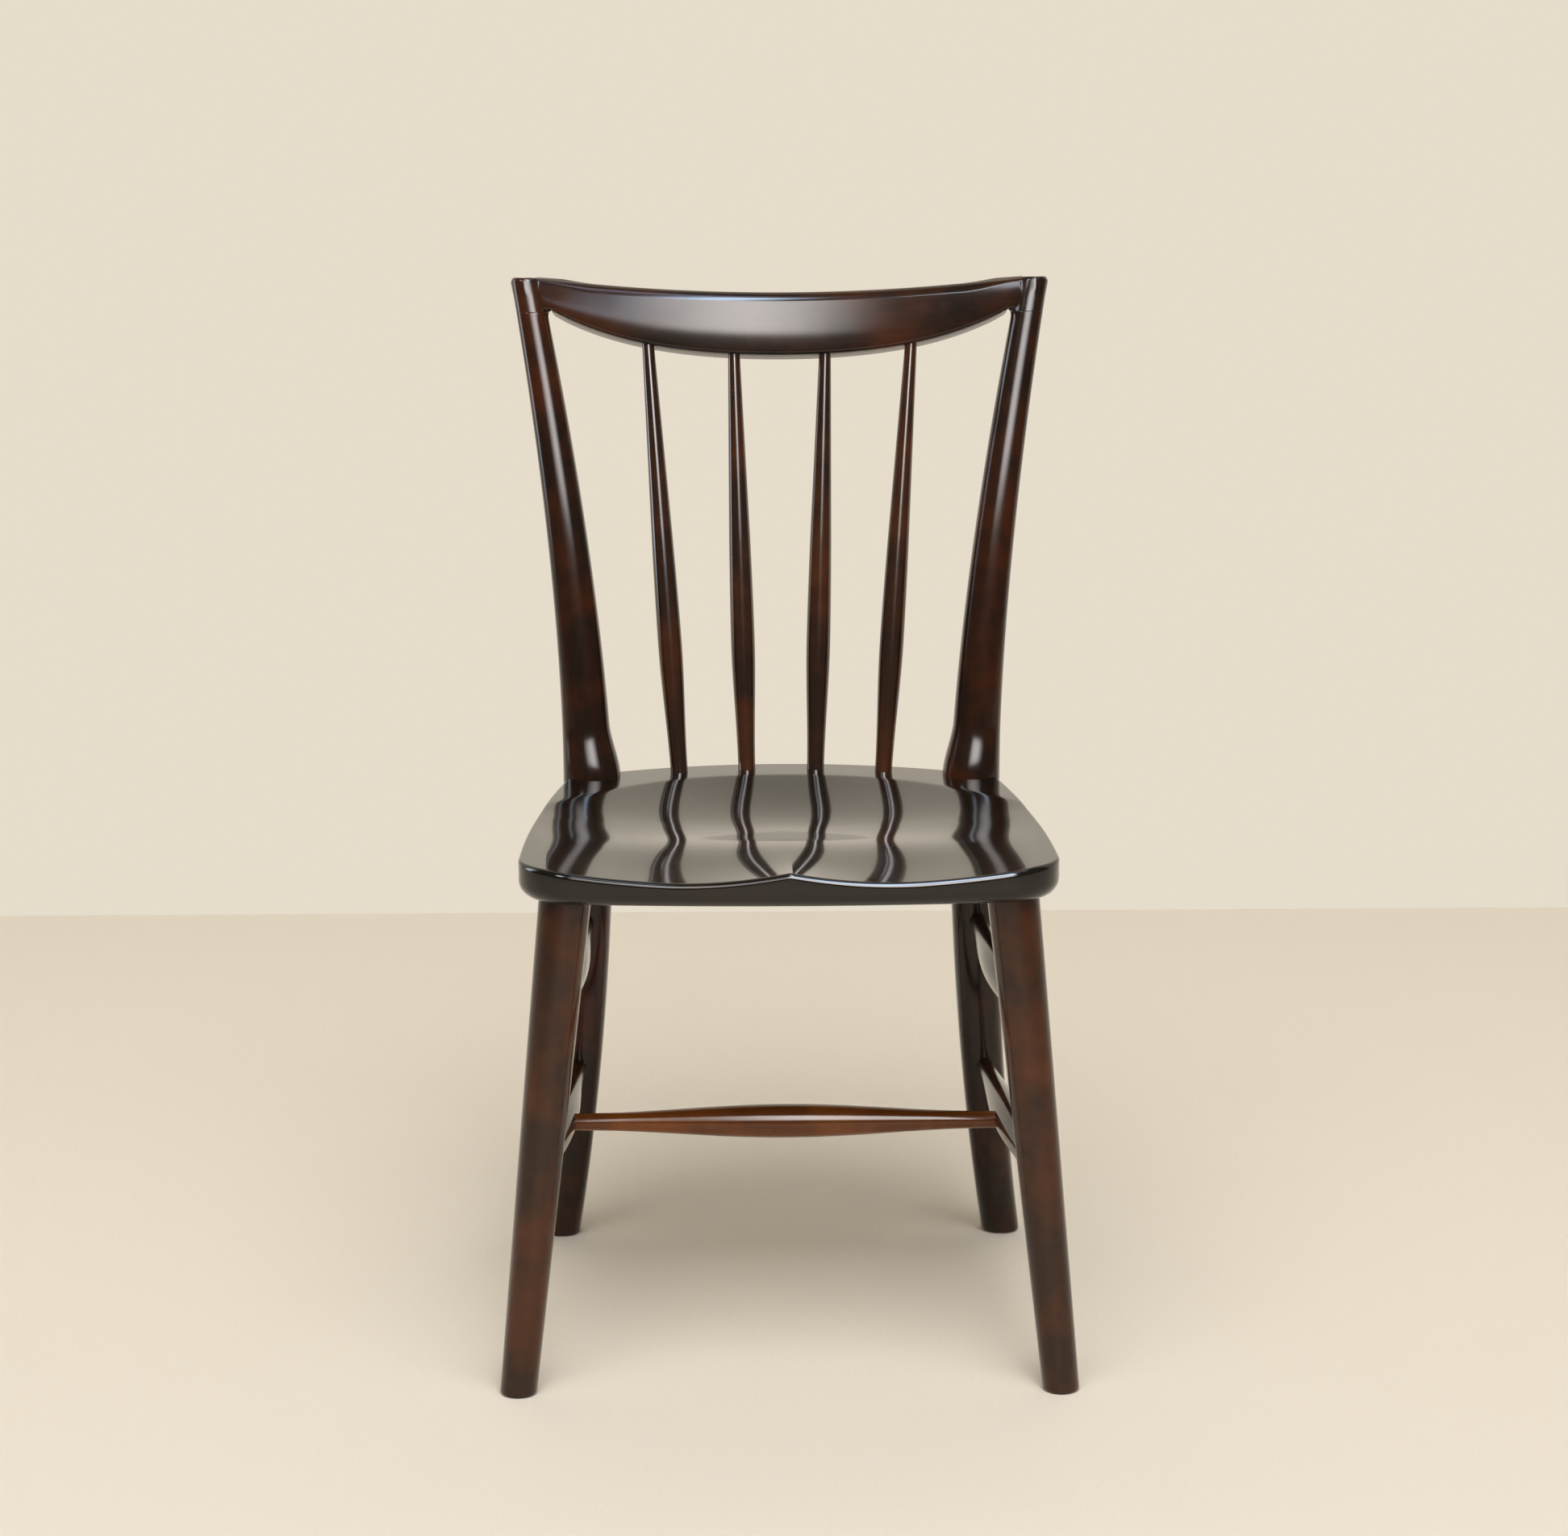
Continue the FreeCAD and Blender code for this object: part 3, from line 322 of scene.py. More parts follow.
def seat_outline(count):
    """Points and outward normals of eight tangent arcs, evenly spaced from the middle of the front."""
    front, back = np.array([0, FRONT_RADIUS]), np.array([0, SEAT_DEPTH - BACK_RADIUS])
    side = np.array([HALF_WIDTH - SIDE_RADIUS, WIDEST])

    def between(a, radius_a, b, radius_b, way):
        gap = b - a
        length = np.linalg.norm(gap)
        along = (radius_a ** 2 - radius_b ** 2 + length ** 2) / (2 * length)
        across = math.sqrt(radius_a ** 2 - along ** 2)
        unit = gap / length
        return a + unit * along + way * across * np.array([-unit[1], unit[0]])

    def pick(b, radius_b, corner, low):
        spots = [between(side, SIDE_RADIUS - corner, b, radius_b - corner, way) for way in (1, -1)]
        right = [spot for spot in spots if spot[0] > 0]
        return min(right, key=lambda spot: spot[1]) if low else max(right, key=lambda spot: spot[1])

    corner = pick(front, FRONT_RADIUS, CORNER, True)
    rear = pick(back, BACK_RADIUS, REAR_CORNER, False)

    def heading(a, b):
        return math.atan2(b[1] - a[1], b[0] - a[0])

    arcs = [(front, FRONT_RADIUS, -math.pi / 2, heading(front, corner)),
            (corner, CORNER, heading(front, corner), heading(side, corner)),
            (side, SIDE_RADIUS, heading(side, corner), heading(side, rear)),
            (rear, REAR_CORNER, heading(side, rear), heading(back, rear)),
            (back, BACK_RADIUS, heading(back, rear), math.pi / 2)]
    lengths = np.array([radius * (end - start) for _, radius, start, end in arcs])
    ends = np.concatenate([[0], np.cumsum(lengths)])
    half = count // 2
    walk = np.linspace(0, ends[-1], half + 1)
    spots, normals = np.zeros((half + 1, 2)), np.zeros((half + 1, 2))
    for index, (middle, radius, start, end) in enumerate(arcs):
        mine = (walk >= ends[index] - 1e-9) & (walk <= ends[index + 1] + 1e-9)
        angle = start + (walk[mine] - ends[index]) / radius
        normals[mine] = np.stack([np.cos(angle), np.sin(angle)], axis=-1)
        spots[mine] = middle + radius * normals[mine]
    flip = np.array([-1.0, 1.0])
    return (np.concatenate([spots, (spots * flip)[-2:0:-1]]),
            np.concatenate([normals, (normals * flip)[-2:0:-1]]))


# The saddle. Depths and rims are in millimetres, y runs back from the seat's front edge, and each
# bell curve has its middle and its spread.
DISH_DEPTH, SIDE_RIM, SIDE_GAIN, BACK_RIM, BACK_RUN = 11, 25.5, 18, 45.5, 143
HIPS, THIGHS, BROADEST = (270, 100), (113, 63), (190, 110)
POMMEL_ACROSS, POMMEL_ALONG = 110, 200
DISH_MIDDLE = np.array([0.0, 205.0])
# Radius of the rounded top edge at the sides, how much the front's is larger, and the round below.
SIDE_ROLL, FRONT_ROLL, UNDER_ROLL = 2.4, 2.0, 13.5
# Along each spoke, the dish's rim lies at most this far out, in a band that has closer rings.
RIM_LIMIT, RIM_BAND, RIM_SOFTNESS = 0.985, 0.03, 0.4


def dish_fall(x, y):
    """How far the saddle lies below the flat top, negative outside it: a power of x across, a
    parabola at the back, less a pommel that fades to the sides and the back. It is deeper and
    rounder under the hips, shallower under the thighs, and widest between them."""
    hips, thighs = bell(y, *HIPS), bell(y, *THIGHS)
    reach = HALF_WIDTH - SIDE_RIM + SIDE_GAIN * bell(y, *BROADEST)
    side = (np.abs(x) / reach) ** (2.6 - 1.2 * hips + 0.9 * thighs)
    back = fading(SEAT_DEPTH - BACK_RIM - y, BACK_RUN)
    pommel = fading(np.abs(x), POMMEL_ACROSS) * fading(np.clip(y, 0, None), POMMEL_ALONG)
    return DISH_DEPTH * (1 + 0.5 * hips - 0.47 * thighs) * (1 - side - back - pommel)


def soft_fall(x, y):
    """The saddle's depth with its rim eased over a few millimetres."""
    fall = dish_fall(x, y)
    return (fall + np.sqrt(fall * fall + RIM_SOFTNESS ** 2)) / 2


def seat_rings():
    """Rings from the middle of the top out to its edge, round the edge and in under the plank. On
    each spoke, more rings lie near the dish's rim."""
    spots, normals = seat_outline(520)
    roll = SIDE_ROLL + FRONT_ROLL * ease(-normals[:, 1] * 1.4 - 0.2)
    inner = spots - normals * roll[:, None]

    def on_spokes(edge, share):
        return DISH_MIDDLE + (edge - DISH_MIDDLE) * share

    def in_dish(share):
        at = on_spokes(inner, share[:, None])
        return dish_fall(at[:, 0], at[:, 1]) > 0

    rim = last_inside(in_dish, np.full(len(inner), 0.3), np.ones(len(inner)), 30)
    rim = np.minimum(rim, RIM_LIMIT)
    before = rim * (1 - RIM_BAND)
    band = np.minimum(2 * RIM_BAND * rim, 1 - before)
    past = before + band
    shares = [before * step / 64 for step in range(1, 65)]
    shares += [before + band * step / 12 for step in range(1, 13)]
    shares += [past + (1 - past) * step / 12 for step in range(1, 13)]
    rings = []
    for share in shares:
        at = on_spokes(inner, share[:, None])
        rings.append(np.column_stack([at, -soft_fall(at[:, 0], at[:, 1])]))
    edge = rings[-1][:, 2]
    for angle in np.linspace(0, math.pi / 2, 11)[1:]:
        at = spots - normals * (roll * (1 - math.sin(angle)))[:, None]
        rings.append(np.column_stack([at, edge - roll * (1 - math.cos(angle))]))
    for angle in np.linspace(0, math.pi / 2, 13):
        at = spots - normals * (UNDER_ROLL * (1 - math.cos(angle)))
        level = -SEAT_THICK + UNDER_ROLL * (1 - math.sin(angle))
        rings.append(np.column_stack([at, np.full(len(at), level)]))
    last = rings[-1][:, :2]
    for share in (0.8, 0.5, 0.2):
        at = on_spokes(last, share)
        rings.append(np.column_stack([at, np.full(len(at), -SEAT_THICK)]))
    return seat_frame(np.stack(rings))


make("seat_plank", [skin(seat_rings())], ["seat"], seat_wood)


# Front legs.

FOOT_EDGE, FOOT_TRIM = 2.2, 1.6
FOOT_HEIGHTS = [0, 0.35, 1.0, FOOT_EDGE]
LEG_FOOT_RADIUS, LEG_GROWTH = 15.25, 6.25


def foot_trim(heights):
    """How far the broken edge of a foot is drawn in."""
    return FOOT_TRIM * np.clip(1 - heights / FOOT_EDGE, 0, 1) ** 2


def front_leg_rings():
    """Level circles up a straight leaning axis, growing evenly, with the foot's edge broken."""
    heights = np.concatenate([FOOT_HEIGHTS, np.linspace(4, LEG_TOP, 70), [LEG_TOP + 5]])
    share = heights / LEG_TOP
    radius = (LEG_FOOT_RADIUS + LEG_GROWTH * share - foot_trim(heights))[:, None]
    angle = round_angles(72)
    x = LEG_X + LEG_SPLAY * (1 - share)
    y = LEG_Y - LEG_RAKE * (1 - share)
    return level_rings(x[:, None] + radius * np.cos(angle), y[:, None] + radius * np.sin(angle),
                       heights)


make_pair("front_leg", "front_leg", front_leg_rings(), leg_wood)


# Rear posts.

# How far the axis swings out and back, by the top and by the floor.
SWING_OUT, SWING_BACK = (52.8, 29.8), (87, 32.6)
# Half width and half depth at the seat, and what they lose by the top and by the floor.
HALF_ACROSS, HALF_DEEP = (22, 9, 5), (21, 8.5, 4)
SHOULDER_HIGH, SHOULDER_IN, SHOULDER_FORWARD, SHOULDER_TOP = 46, 7, 8, 490
POST_POWER = 2.3
# Near the seam: how far and over what height the inner side turns out, and the seam's broken edge.
TURN_OUT, TURN_HEIGHT, SEAM_TRIM, SEAM_EDGE = 3.5, 8, 0.15, 0.3


def post_axis(z):
    """Axis of the right post and rear leg: powers of the distance from the seat."""
    above = np.clip((z - WAIST) / (TOP - WAIST), 0, None) ** 1.65
    below = np.clip((WAIST - z) / WAIST, 0, None) ** 2.05
    return (POST_X + SWING_OUT[0] * above + SWING_OUT[1] * below,
            POST_Y + SWING_BACK[0] * above + SWING_BACK[1] * below)


def post_halves(z):
    """Half width and half depth of the post, even tapers up and down from the seat."""
    above = np.clip((z - WAIST) / (TOP - WAIST), 0, 1)
    below = np.clip((WAIST - z) / WAIST, 0, 1)
    return tuple(full - by_top * above - by_floor * below
                 for full, by_top, by_floor in (HALF_ACROSS, HALF_DEEP))


def post_flare(z):
    """How far the post's foot spreads inwards and forwards over the seat."""
    share = ease(1 - (z - seat_level(POST_Y)) / SHOULDER_HIGH)
    share = np.where(z > WAIST, share, 0.0) * ease((z - WAIST) / 6)
    return SHOULDER_IN * share, SHOULDER_FORWARD * share


def signed_power(value):
    """A superellipse's coordinate from a cosine or a sine."""
    return np.sign(value) * np.abs(value) ** (2 / POST_POWER)


def post_rings():
    """Level superellipses up the curved axis, spread at the shoulder, with the foot's edge broken.
    In the last few millimetres the inner side turns out towards the crest rail."""
    heights = np.concatenate([
        FOOT_HEIGHTS, np.linspace(5, WAIST, 60), np.linspace(WAIST + 2, SHOULDER_TOP - 4, 40),
        np.linspace(SHOULDER_TOP, SEAM - 11, 84), np.linspace(SEAM - 9, SEAM - 2 * SEAM_EDGE, 9),
        [SEAM - SEAM_EDGE, SEAM]])
    x, y = post_axis(heights)
    wide, deep = post_halves(heights)
    inwards, forwards = post_flare(heights)
    trim = foot_trim(heights) + SEAM_TRIM * np.clip((heights - SEAM + SEAM_EDGE) / SEAM_EDGE, 0, 1)
    x, y = x - inwards / 2, y - forwards / 2
    wide, deep = wide + inwards / 2 - trim, deep + forwards / 2 - trim
    angle = round_angles(96)
    a, b = signed_power(np.cos(angle)), signed_power(np.sin(angle))
    corner = TURN_OUT * quarter_round((heights - (SEAM - TURN_HEIGHT)) / TURN_HEIGHT)
    across = x[:, None] + wide[:, None] * a - corner[:, None] * np.clip(-a, 0, None) ** 1.5
    return level_rings(across, y[:, None] + deep[:, None] * b, heights)


make_pair("rear_post", "rear_post", post_rings(), post_wood)

PLUG_HEIGHT, PLUG_PLACES = 420, (161.6, 177.6)


def plug_rings(x, z):
    """A round plug in the back of the right post that follows its surface, a hair proud of it."""
    radius = np.array([0.01, 2.5, 4.0, 4.7, 5.0, 5.0])
    proud = np.array([0.18, 0.18, 0.17, 0.12, -0.05, -4.0])
    angle = round_angles(40)
    at_x = x + radius[:, None] * np.cos(angle)
    at_z = z + radius[:, None] * np.sin(angle)
    middle_x, middle_y = post_axis(at_z)
    wide, deep = post_halves(at_z)
    back = middle_y + deep * superellipse((at_x - middle_x) / wide, POST_POWER)
    return np.stack([at_x, back + proud[:, None], at_z], axis=-1)


plugs = [plug_rings(x, PLUG_HEIGHT) for x in PLUG_PLACES]
make("screw_plugs_cut_flush", [skin(plug) for rings in plugs for plug in (rings, mirrored(rings))],
     ["screw_plugs"], post_wood)


# Crest rail with its horns.

LEAN, LEAN_SHRINK = 0.292, 0.043
CREST_BOTTOM, BOTTOM_RISE, CREST_TOP, TOP_RISE = 74.5, 48.5, 18.5, 16.6
# For the front and the back: thickness, what it loses at the horns, the round under it, and how
# much further its rolled top edge reaches down in the middle than at the horns.
FRONT, BACK = (10.4, 0, 4, 7.5), (10.5, 2.6, 4.5, 5)
END_ROLL = 1.5
# The face's web runs on into the horn's front between these two, and ends past the third.
WEB_START, WEB_WIDE, WEB_END, WEB_SLOPE = 213, 9, 224, 0.24
HORN_ROUND, HORN_TRIM, HORN_SIDE, CRESCENT_END = 2.6, 0.12, 206, 205
# The front's lower and upper parts ease back by the first of these, over the second as a share of
# its height. The top edge has a bevel and then a round, each as a share of the roll.
LOWER_EASE, UPPER_EASE, BEVEL, ROUND = (3.0, 0.52), (1.2, 0.5), 0.22, 0.72
# Where the front's thickness starts to be laid off level, at the lower edge and above it, and how
# soon it is done.
LEVEL_LOW, LEVEL_HIGH, EDGE_HIGH = (197, 10), (150, 57), 12
# The top falls from the horns inwards, and their outer corners are rounded down.
TOP_FALL, FALL_FROM, FALL_WIDE = 0.115, 218, 55
CORNER_FALL, CORNER_ROUND, CORNER_REACH = (1.5, 226, 12), 4.5, 5


def crest_edges(x):
    """Heights of the crescent's bottom and top edges."""
    u = np.abs(x) / CREST_HALF
    return (TOP - CREST_BOTTOM + BOTTOM_RISE * (0.62 * u ** 2 + 0.38 * u ** 4),
            TOP - CREST_TOP + TOP_RISE * u ** 2)


def near_horn(x):
    """From 0 on the crescent to 1 at the horn."""
    return ease((np.abs(x) - 158) / 52)


def crest_roll(x, more):
    """How far down the crescent's rolled top edge reaches."""
    return END_ROLL + more * (1 - near_horn(x))


def crescent_half(x, z, front):
    """Half thickness of the crescent. The front's lower third eases back in a parabola before it
    rounds under. The top edge rolls back from an arris. Near each horn the front's face comes
    forward to meet it."""
    low, high = crest_edges(x)
    from_low, from_high = z - low, high - z
    thick, thinning, under, roll_more = FRONT if front else BACK
    body = thick - thinning * near_horn(x)
    if front:
        for (most, part), from_edge in ((LOWER_EASE, from_low), (UPPER_EASE, from_high)):
            body = body - most * np.clip(1 - from_edge / (part * (high - low)), 0, 1) ** 2
    body = body - 0.9 * under * quarter_round(1 - from_low / under)
    roll = crest_roll(x, roll_more)
    t = 1 - from_high / roll
    body = body - np.clip(t, 0, 1) * BEVEL * roll - ROUND * roll * quarter_round(t)
    web = WEB_SLOPE * np.clip(np.abs(x) - WEB_START, 0, WEB_WIDE) if front else 0
    past = np.abs(x) - (WEB_END if front else WEB_START)
    return body + web - 1.5 * np.clip(past, 0, None) - 3 * np.clip(-from_high, 0, None)


def horn_half(x, z):
    """Half depth of the horn at a place: the post's section, drawn in at the rounded top."""
    middle, _ = post_axis(z)
    wide, deep = post_halves(z)
    trim = HORN_ROUND * quarter_round((z - (TOP - HORN_ROUND)) / HORN_ROUND)
    trim = trim + HORN_TRIM * np.clip(1 - (z - SEAM) / SEAM_EDGE, 0, 1)
    return (deep - trim) * superellipse((np.abs(x) - middle) / (wide - trim), POST_POWER)


def crest_rings():
    """Sections across the crest rail, each a loop up the front and down the back. Columns lean out
    with the horn near the ends. On the crescent the thickness is laid off square to its lean, so
    its underside shows from the front, and on the horns level, as on the posts. The horns' tops
    are square to the lean, with rounded outer corners."""
    outer_edge = float(post_axis(np.array(TOP))[0] + post_halves(np.array(TOP))[0])
    horn_columns = CRESCENT_END + (outer_edge - CRESCENT_END) * np.sin(np.linspace(0, np.pi / 2, 64))
    columns = np.concatenate([-horn_columns[::-1],
                              np.linspace(-CRESCENT_END, CRESCENT_END, 330)[1:-1], horn_columns])
    size = np.abs(columns)

    def spot(z):
        tilt = post_axis(z)[0] + post_halves(z)[0] - outer_edge
        return columns + np.sign(columns) * tilt * ease((size - 180) / (outer_edge - 180))

    def full(z):
        at = spot(z)
        return np.maximum(horn_half(at, z), crescent_half(at, z, True)) > 0.25

    horn = size > HORN_SIDE
    bottom, top = crest_edges(columns)
    low = np.where(horn, SEAM, bottom)
    near_seam = (size > 200) & (low < SEAM)
    low = np.where(near_seam, np.minimum(low + (size - 200), SEAM), low)
    centre = np.where(horn, SEAM + 9, (bottom + top) / 2)
    to_top = np.full_like(columns, TOP)
    high = np.where(full(to_top), TOP, last_inside(full, centre, to_top, 40))
    arris = high - np.minimum(crest_roll(columns, FRONT[3]), (high - low) * 0.4)
    below = (1 - np.cos(np.linspace(0, np.pi, 30))) / 2
    over = np.array([0.02, 0.06, 0.14, 0.25, 0.37, 0.5, 0.62, 0.73, 0.83, 0.91, 0.97, 1.0])
    z = np.concatenate([low[:, None] + (arris - low)[:, None] * below,
                        arris[:, None] + (high - arris)[:, None] * over], axis=1)
    x = np.stack([spot(z[:, row]) for row in range(z.shape[1])], axis=1)
    bow = CREST_BOW * smooth_most(1 - (np.abs(x) / CREST_HALF) ** 2, 0 * x, 0.004)
    lean = post_axis(z)[1] + bow

    # How far each point is laid off square to the lean: less towards the horns, which begins later
    # at the lower edge.
    from_edge = z - low[:, None]
    above_edge = ease(from_edge / EDGE_HIGH)
    at_edge, above = [ease((size[:, None] - start) / run) for start, run in (LEVEL_LOW, LEVEL_HIGH)]
    share = 1 - at_edge * (1 - above_edge) - above * above_edge

    # The most that a point may stand up, and how far the horns' outer corners are rounded down.
    ceiling = TOP - TOP_FALL * np.clip(FALL_FROM - np.abs(x), 0, FALL_WIDE)
    most, start, run = CORNER_FALL
    corner = (most * np.clip((np.abs(x) - start) / run, 0, 1) ** 2
              + CORNER_ROUND * quarter_round((np.abs(x) - outer_edge + CORNER_REACH) / CORNER_REACH))
    rounding = corner * ease((z - SEAM - 12) / (TOP - SEAM - 12))
    loops = []
    for front, side in ((True, -1), (False, 1)):
        depth = smooth_most(crescent_half(x, z, front), horn_half(x, z), 3)
        depth = np.maximum(depth, 0.2)
        level = z - side * depth * LEAN * share
        if front:
            level = level + 2.2 * share * np.clip(1 - from_edge / 16, 0, 1) ** 2
        else:
            tilted = ease((z - SEAM - 9) / (TOP - SEAM - 9))
            level = level - 2 * depth * LEAN * (1 - share) * tilted
        level = np.minimum(level, ceiling) - rounding
        y = lean + side * depth * (1 - LEAN_SHRINK * share)
        loops.append(np.stack([x, y, level], axis=-1))
    return np.concatenate([loops[0], loops[1][:, ::-1]], axis=1)


make("crest_with_horns", [skin(crest_rings())], ["crest_rail"], crest_wood)


# Spindles.

SPINDLE_TENON, SPINDLE_HEAD = 20.0, 18.0
FOOT_RADIUS, BELLY_RADIUS, SHOULDER_RADIUS, NECK_RADIUS = 7.65, 10.6, 9.4, 5.35
BELLY_AT, SHOULDER_RUN = 112, 92
SPINDLE_ARC = BACK_RADIUS - 19.4


def spindle_profile(length):
    """Radius along a spindle: straight tenon, a quick swell to the belly, a shoulder, a long
    taper."""
    seat, head = SPINDLE_TENON, length - SPINDLE_HEAD
    distance = np.concatenate([
        np.linspace(0, seat, 4), seat + np.array([0.4, 0.9, 1.6, 2.6]),
        np.linspace(seat + 5, head - 3, 110), head + np.array([-1.6, -0.8, -0.3, 0]), [length]])
    up = distance - seat
    past = np.clip(up - BELLY_AT, 0, None)
    swell = FOOT_RADIUS + ease(up / BELLY_AT) * (BELLY_RADIUS - FOOT_RADIUS)
    shoulder = BELLY_RADIUS - (BELLY_RADIUS - SHOULDER_RADIUS) * (past / SHOULDER_RUN) ** 1.6
    taper_run = head - seat - BELLY_AT - SHOULDER_RUN
    taper = SHOULDER_RADIUS - (SHOULDER_RADIUS - NECK_RADIUS) * (past - SHOULDER_RUN) / taper_run
    radius = np.where(up > BELLY_AT, shoulder, swell)
    radius = np.where(up > BELLY_AT + SHOULDER_RUN, taper, radius)
    return distance, np.where(distance > head, NECK_RADIUS, radius)


def spindle_ends(seat_x, crest_x):
    """Tips of a right spindle: on the seat's arc below, under the crest rail's mid surface above."""
    y = SEAT_FRONT + SEAT_DEPTH - BACK_RADIUS + math.sqrt(SPINDLE_ARC ** 2 - seat_x ** 2)
    foot = np.array([seat_x, y, seat_level(y)])
    height = float(crest_edges(np.array(crest_x))[0])
    depth = float(post_axis(np.array(height))[1]) + CREST_BOW * (1 - (crest_x / CREST_HALF) ** 2)
    head = np.array([crest_x, depth, height])
    unit = (head - foot) / np.linalg.norm(head - foot)
    return foot - unit * SPINDLE_TENON, head + unit * SPINDLE_HEAD


for kind, seat_x, crest_x in (("inner", 30.3, 40.0), ("outer", 89.9, 115.3)):
    start, end = spindle_ends(seat_x, crest_x)
    rings = turned(start, end, spindle_profile(np.linalg.norm(end - start)))
    make_pair("spindle_" + kind, kind + "_spindle", rings, spindle_wood)


# Stretchers.

END_RADIUS, SWELL_RADIUS = 7.3, 14.5
SIDE_TENON, CROSS_TENON = 24, 15


def leg_at(z):
    """Axis of the right front leg at a height."""
    share = 1 - z / LEG_TOP
    return np.array([LEG_X + LEG_SPLAY * share, LEG_Y - LEG_RAKE * share, z])


def rear_at(z):
    """Axis of the right rear leg at a height."""
    x, y = post_axis(np.array(float(z)))
    return np.array([float(x), float(y), z])


def swelled(length, tenon):
    """Radius along a stretcher: a bell, half a cosine wave, between two straight ends."""
    distance = np.linspace(0, length, 130)
    u = np.clip((distance - length / 2) / (length / 2 - tenon), -1, 1)
    return distance, END_RADIUS + (SWELL_RADIUS - END_RADIUS) * (1 + np.cos(np.pi * u)) / 2


for kind, front, rear in (("lower", 172, 167), ("upper", 304, 304)):
    start, end = leg_at(front), rear_at(rear)
    rings = turned(start, end, swelled(np.linalg.norm(end - start), SIDE_TENON))
    if kind == "lower":
        crossing = (start + end) / 2
    make_pair("stretcher_" + kind, kind + "_stretcher", rings, side_wood)
rings = turned(crossing * np.array([-1, 1, 1]), crossing, swelled(2 * crossing[0], CROSS_TENON))
make("stretcher_cross", [skin(rings)], ["cross_stretcher"], cross_wood)


# Floor and wall.

def plain_paint(name, colour, rough, shown=None):
    """A plain matt stage material with a faint mottle. Where a shown colour is given, eyes and
    mirror reflections see that colour evenly lit, and from behind the sheet is clear."""
    material, tree, shader = blank(name)
    links = tree.links
    shader.inputs["Roughness"].default_value = rough
    shader.inputs["Specular IOR Level"].default_value = 0.2
    mottle = noise(tree, object_place(tree), Scale=260, Detail=4)
    darker, lighter = [value * 0.96 for value in colour], [min(1, value * 1.04) for value in colour]
    links.new(blend(tree, mottle, darker, lighter), shader.inputs["Base Color"])
    if shown:
        glow = add(tree, "Emission", Color=(*shown, 1))
        ray = tree.nodes.new("ShaderNodeLightPath")
        seen = tree.nodes.new("ShaderNodeMath")
        seen.operation = "MAXIMUM"
        links.new(ray.outputs["Is Camera Ray"], seen.inputs[0])
        links.new(ray.outputs["Is Glossy Ray"], seen.inputs[1])
        sides = tree.nodes.new("ShaderNodeNewGeometry")
        clear = tree.nodes.new("ShaderNodeBsdfTransparent")

        def either(share, first, second):
            mix = tree.nodes.new("ShaderNodeMixShader")
            for socket, value in zip(mix.inputs, (share, first, second)):
                links.new(value, socket)
            return mix.outputs["Shader"]

        even = either(seen.outputs["Value"], shader.outputs["BSDF"], glow.outputs["Emission"])
        choice = either(sides.outputs["Backfacing"], even, clear.outputs["BSDF"])
        links.new(choice, tree.nodes["Material Output"].inputs["Surface"])
    return material


def sheet_of(name, corners, material):
    """A flat stage piece from four corners in metres, in order round its front face."""
    mesh = bpy.data.meshes.new(name)
    mesh.from_pydata(corners, [], [(0, 1, 2, 3)])
    item = bpy.data.objects.new(name, mesh)
    bpy.context.collection.objects.link(item)
    mesh.materials.append(material)


ROOM_SIDE, ROOM_END, WALL_Y, WALL_TOP = 7, 8, 1.218, 3.2
FLOOR_COLOUR, WALL_COLOUR, WALL_SHOWN = (0.80, 0.735, 0.635), (0.80, 0.74, 0.63), (0.79, 0.715, 0.595)
for name, near, far in (("floor", -ROOM_END, WALL_Y), ("back_floor", WALL_Y, ROOM_END)):
    corners = [(-ROOM_SIDE, near, 0), (ROOM_SIDE, near, 0), (ROOM_SIDE, far, 0), (-ROOM_SIDE, far, 0)]
    sheet_of(name, corners, plain_paint(name + "_paint", FLOOR_COLOUR, 0.8))
corners = [(-ROOM_SIDE, WALL_Y, 0), (ROOM_SIDE, WALL_Y, 0), (ROOM_SIDE, WALL_Y, WALL_TOP),
           (-ROOM_SIDE, WALL_Y, WALL_TOP)]
sheet_of("wall", corners, plain_paint("wall_paint", WALL_COLOUR, 0.9, WALL_SHOWN))


# Lights and camera.

SITTER = Vector((0, 0.15, 0.7))


def fade_to_edges(lamp):
    """Brightness over the lamp's face falls to 0 at its edges, so that its mirror image has no hard
    outline: the square of a parabola across it, times a steeper one up it that is cut off at 1."""
    lamp.use_nodes = True
    nodes, links = lamp.node_tree.nodes, lamp.node_tree.links
    split = nodes.new("ShaderNodeSeparateXYZ")
    links.new(nodes.new("ShaderNodeNewGeometry").outputs["Parametric"], split.inputs["Vector"])

    def product(first, second):
        times = nodes.new("ShaderNodeMath")
        times.operation = "MULTIPLY"
        for socket, value in zip(times.inputs, (first, second)):
            if isinstance(value, float):
                socket.default_value = value
            else:
                links.new(value, socket)
        return times.outputs["Value"]

    def hump(along):
        rest = nodes.new("ShaderNodeMath")
        rest.operation = "SUBTRACT"
        rest.inputs[0].default_value = 1.0
        links.new(along, rest.inputs[1])
        return product(product(along, rest.outputs["Value"]), 4.0)

    across, up = hump(split.outputs["X"]), product(hump(split.outputs["Y"]), 2.2)
    up.node.use_clamp = True
    links.new(product(product(across, across), up), nodes["Emission"].inputs["Strength"])


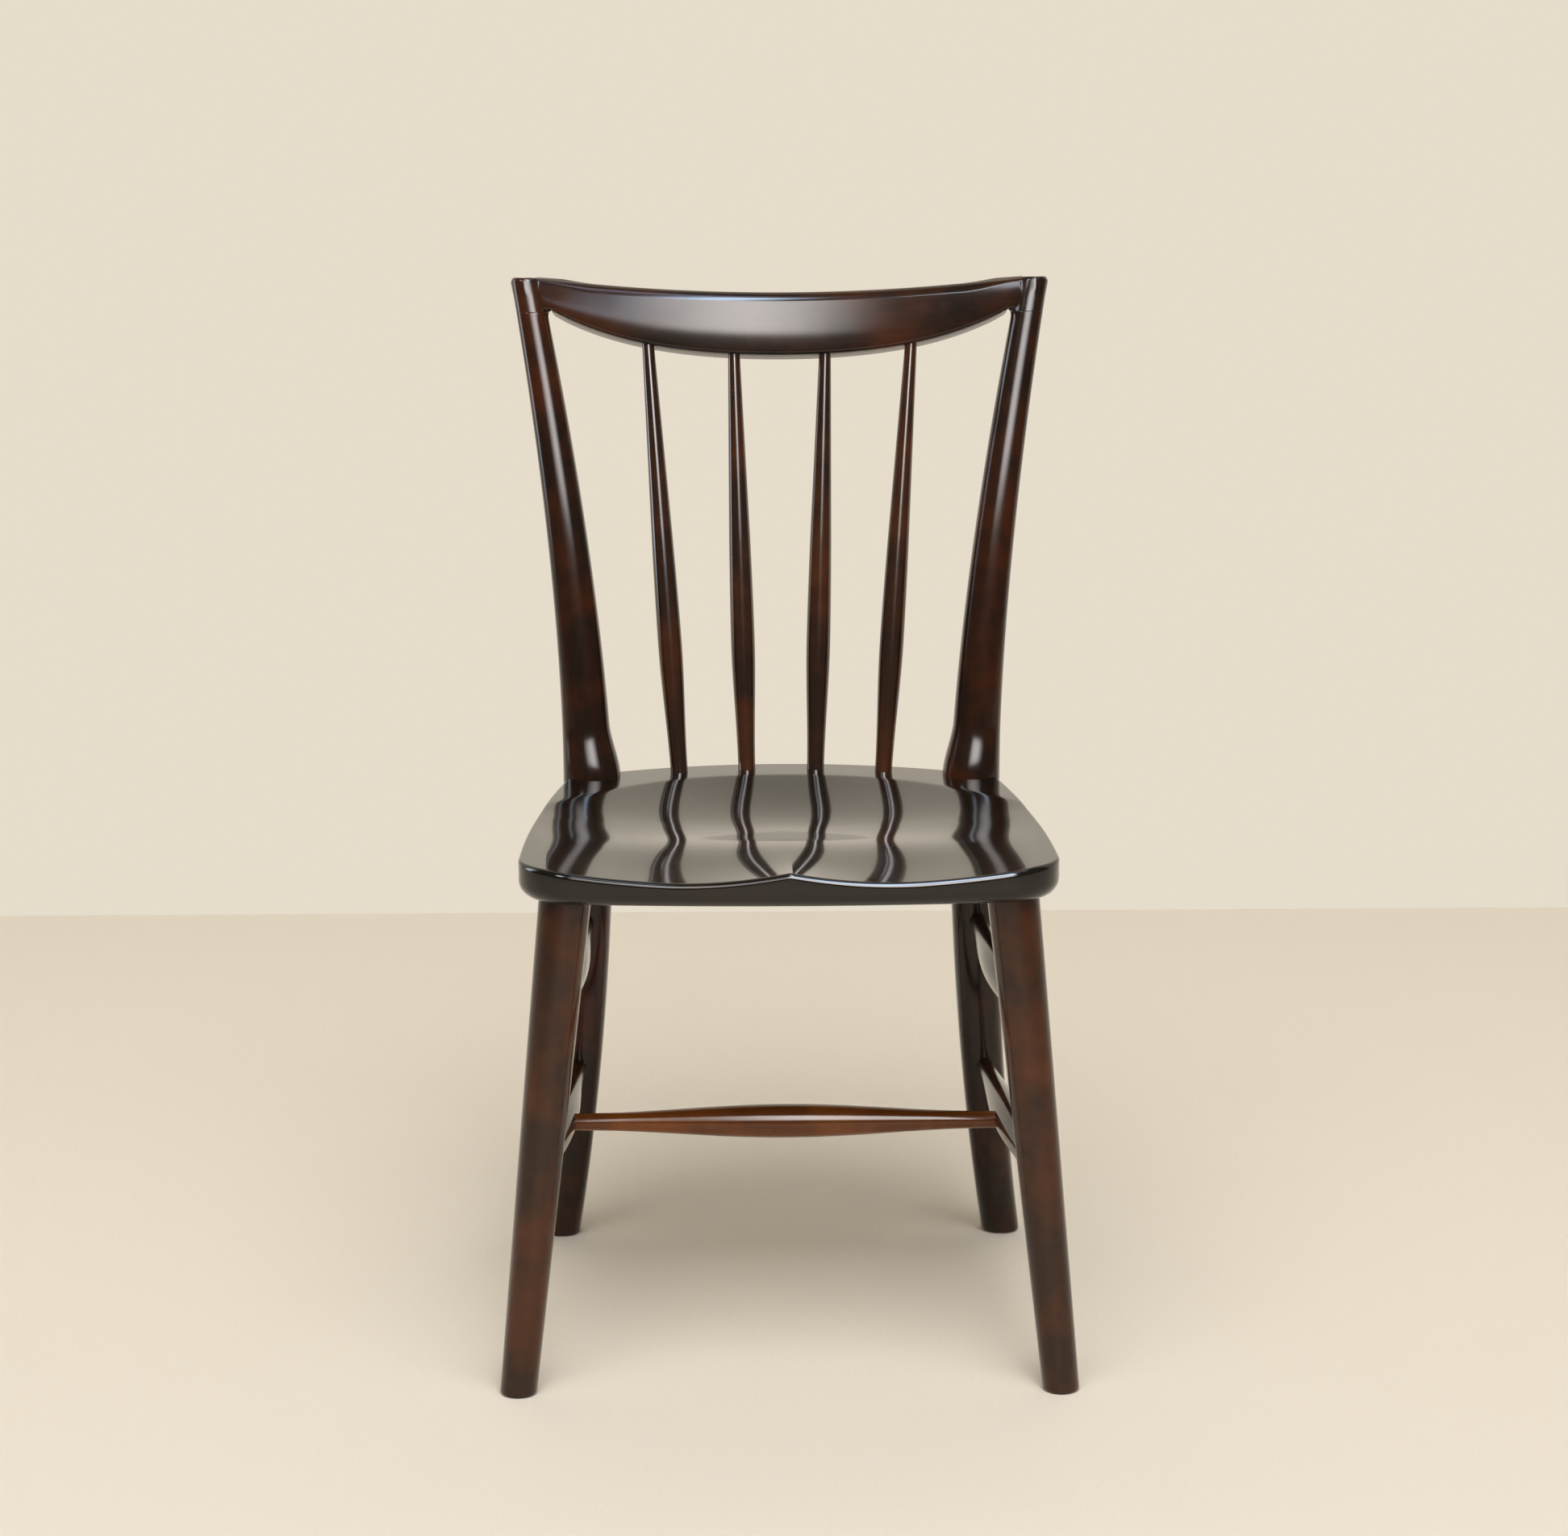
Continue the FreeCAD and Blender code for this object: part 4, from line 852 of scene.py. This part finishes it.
def panel(name, azimuth, elevation, distance, radiance, colour, in_lacquer=True):
    """A soft rectangular lamp that fills a range of azimuths (from straight ahead of the chair, to
    its right) and elevations, in degrees, as seen from the back rest. It either shows in the gloss
    of the lacquer or lights what is matt. The camera doesn't see it."""
    turn = math.radians(sum(azimuth) / 2)
    lift = math.radians(sum(elevation) / 2)
    away = Vector((math.sin(turn) * math.cos(lift), -math.cos(turn) * math.cos(lift), math.sin(lift)))
    lamp = bpy.data.lights.new(name, "AREA")
    lamp.shape = "RECTANGLE"
    lamp.size = 2 * distance * math.tan(math.radians(azimuth[1] - azimuth[0]) / 2) * math.cos(lift)
    lamp.size_y = 2 * distance * math.tan(math.radians(elevation[1] - elevation[0]) / 2)
    lamp.energy = radiance * math.pi * lamp.size * lamp.size_y
    lamp.color = colour
    fade_to_edges(lamp)
    item = bpy.data.objects.new(name, lamp)
    bpy.context.collection.objects.link(item)
    item.location = SITTER + away * distance
    item.rotation_euler = (-away).to_track_quat("-Z", "Y").to_euler()
    item.visible_camera = False
    item.visible_glossy = in_lacquer
    item.visible_diffuse = not in_lacquer


WARM_WHITE, ROOM_WHITE, SKY_BLUE = (1.0, 0.955, 0.93), (1.0, 0.98, 0.95), (0.62, 0.78, 1.0)
panel("front_window", (-15, 27), (15.5, 54), 8.0, 18.0, WARM_WHITE)
panel("sky_window", (0, 38), (48, 84), 8.0, 32.0, SKY_BLUE)
panel("side_window", (14, 30), (15, 50), 8.0, 4.0, SKY_BLUE)
panel("high_window", (50, 130), (64, 90), 3.0, 4.0, (0.62, 0.72, 1.0))
panel("far_window", (-46, -20), (34, 62), 8.0, 14.0, (0.78, 0.87, 1.0))
panel("left_window", (-112, -84), (-8, 36), 2.6, 7.0, (0.72, 0.84, 1.0))
panel("room_light", (-14, 26), (46, 82), 5.0, 6.5, ROOM_WHITE, in_lacquer=False)
panel("room_fill", (-60, 60), (25, 75), 4.0, 3.9, ROOM_WHITE, in_lacquer=False)

world = bpy.data.worlds.new("room")
bpy.context.scene.world = world
world.use_nodes = True
background = world.node_tree.nodes["Background"]
background.inputs["Color"].default_value = (0.9, 0.9, 0.9, 1)
background.inputs["Strength"].default_value = 0.13

CAMERA_PLACE, LOOK_DOWN, LOOK_RIGHT = (-0.0748, -3.7318, 1.4), 13.973, 1.142
bpy.context.scene.view_settings.view_transform = "Standard"
lens = bpy.data.cameras.new("camera")
lens.lens, lens.sensor_width = 103.92, 36
camera = bpy.data.objects.new("camera", lens)
bpy.context.collection.objects.link(camera)
camera.location = CAMERA_PLACE
camera.rotation_euler = (math.radians(90 - LOOK_DOWN), 0, math.radians(-LOOK_RIGHT))
bpy.context.scene.camera = camera
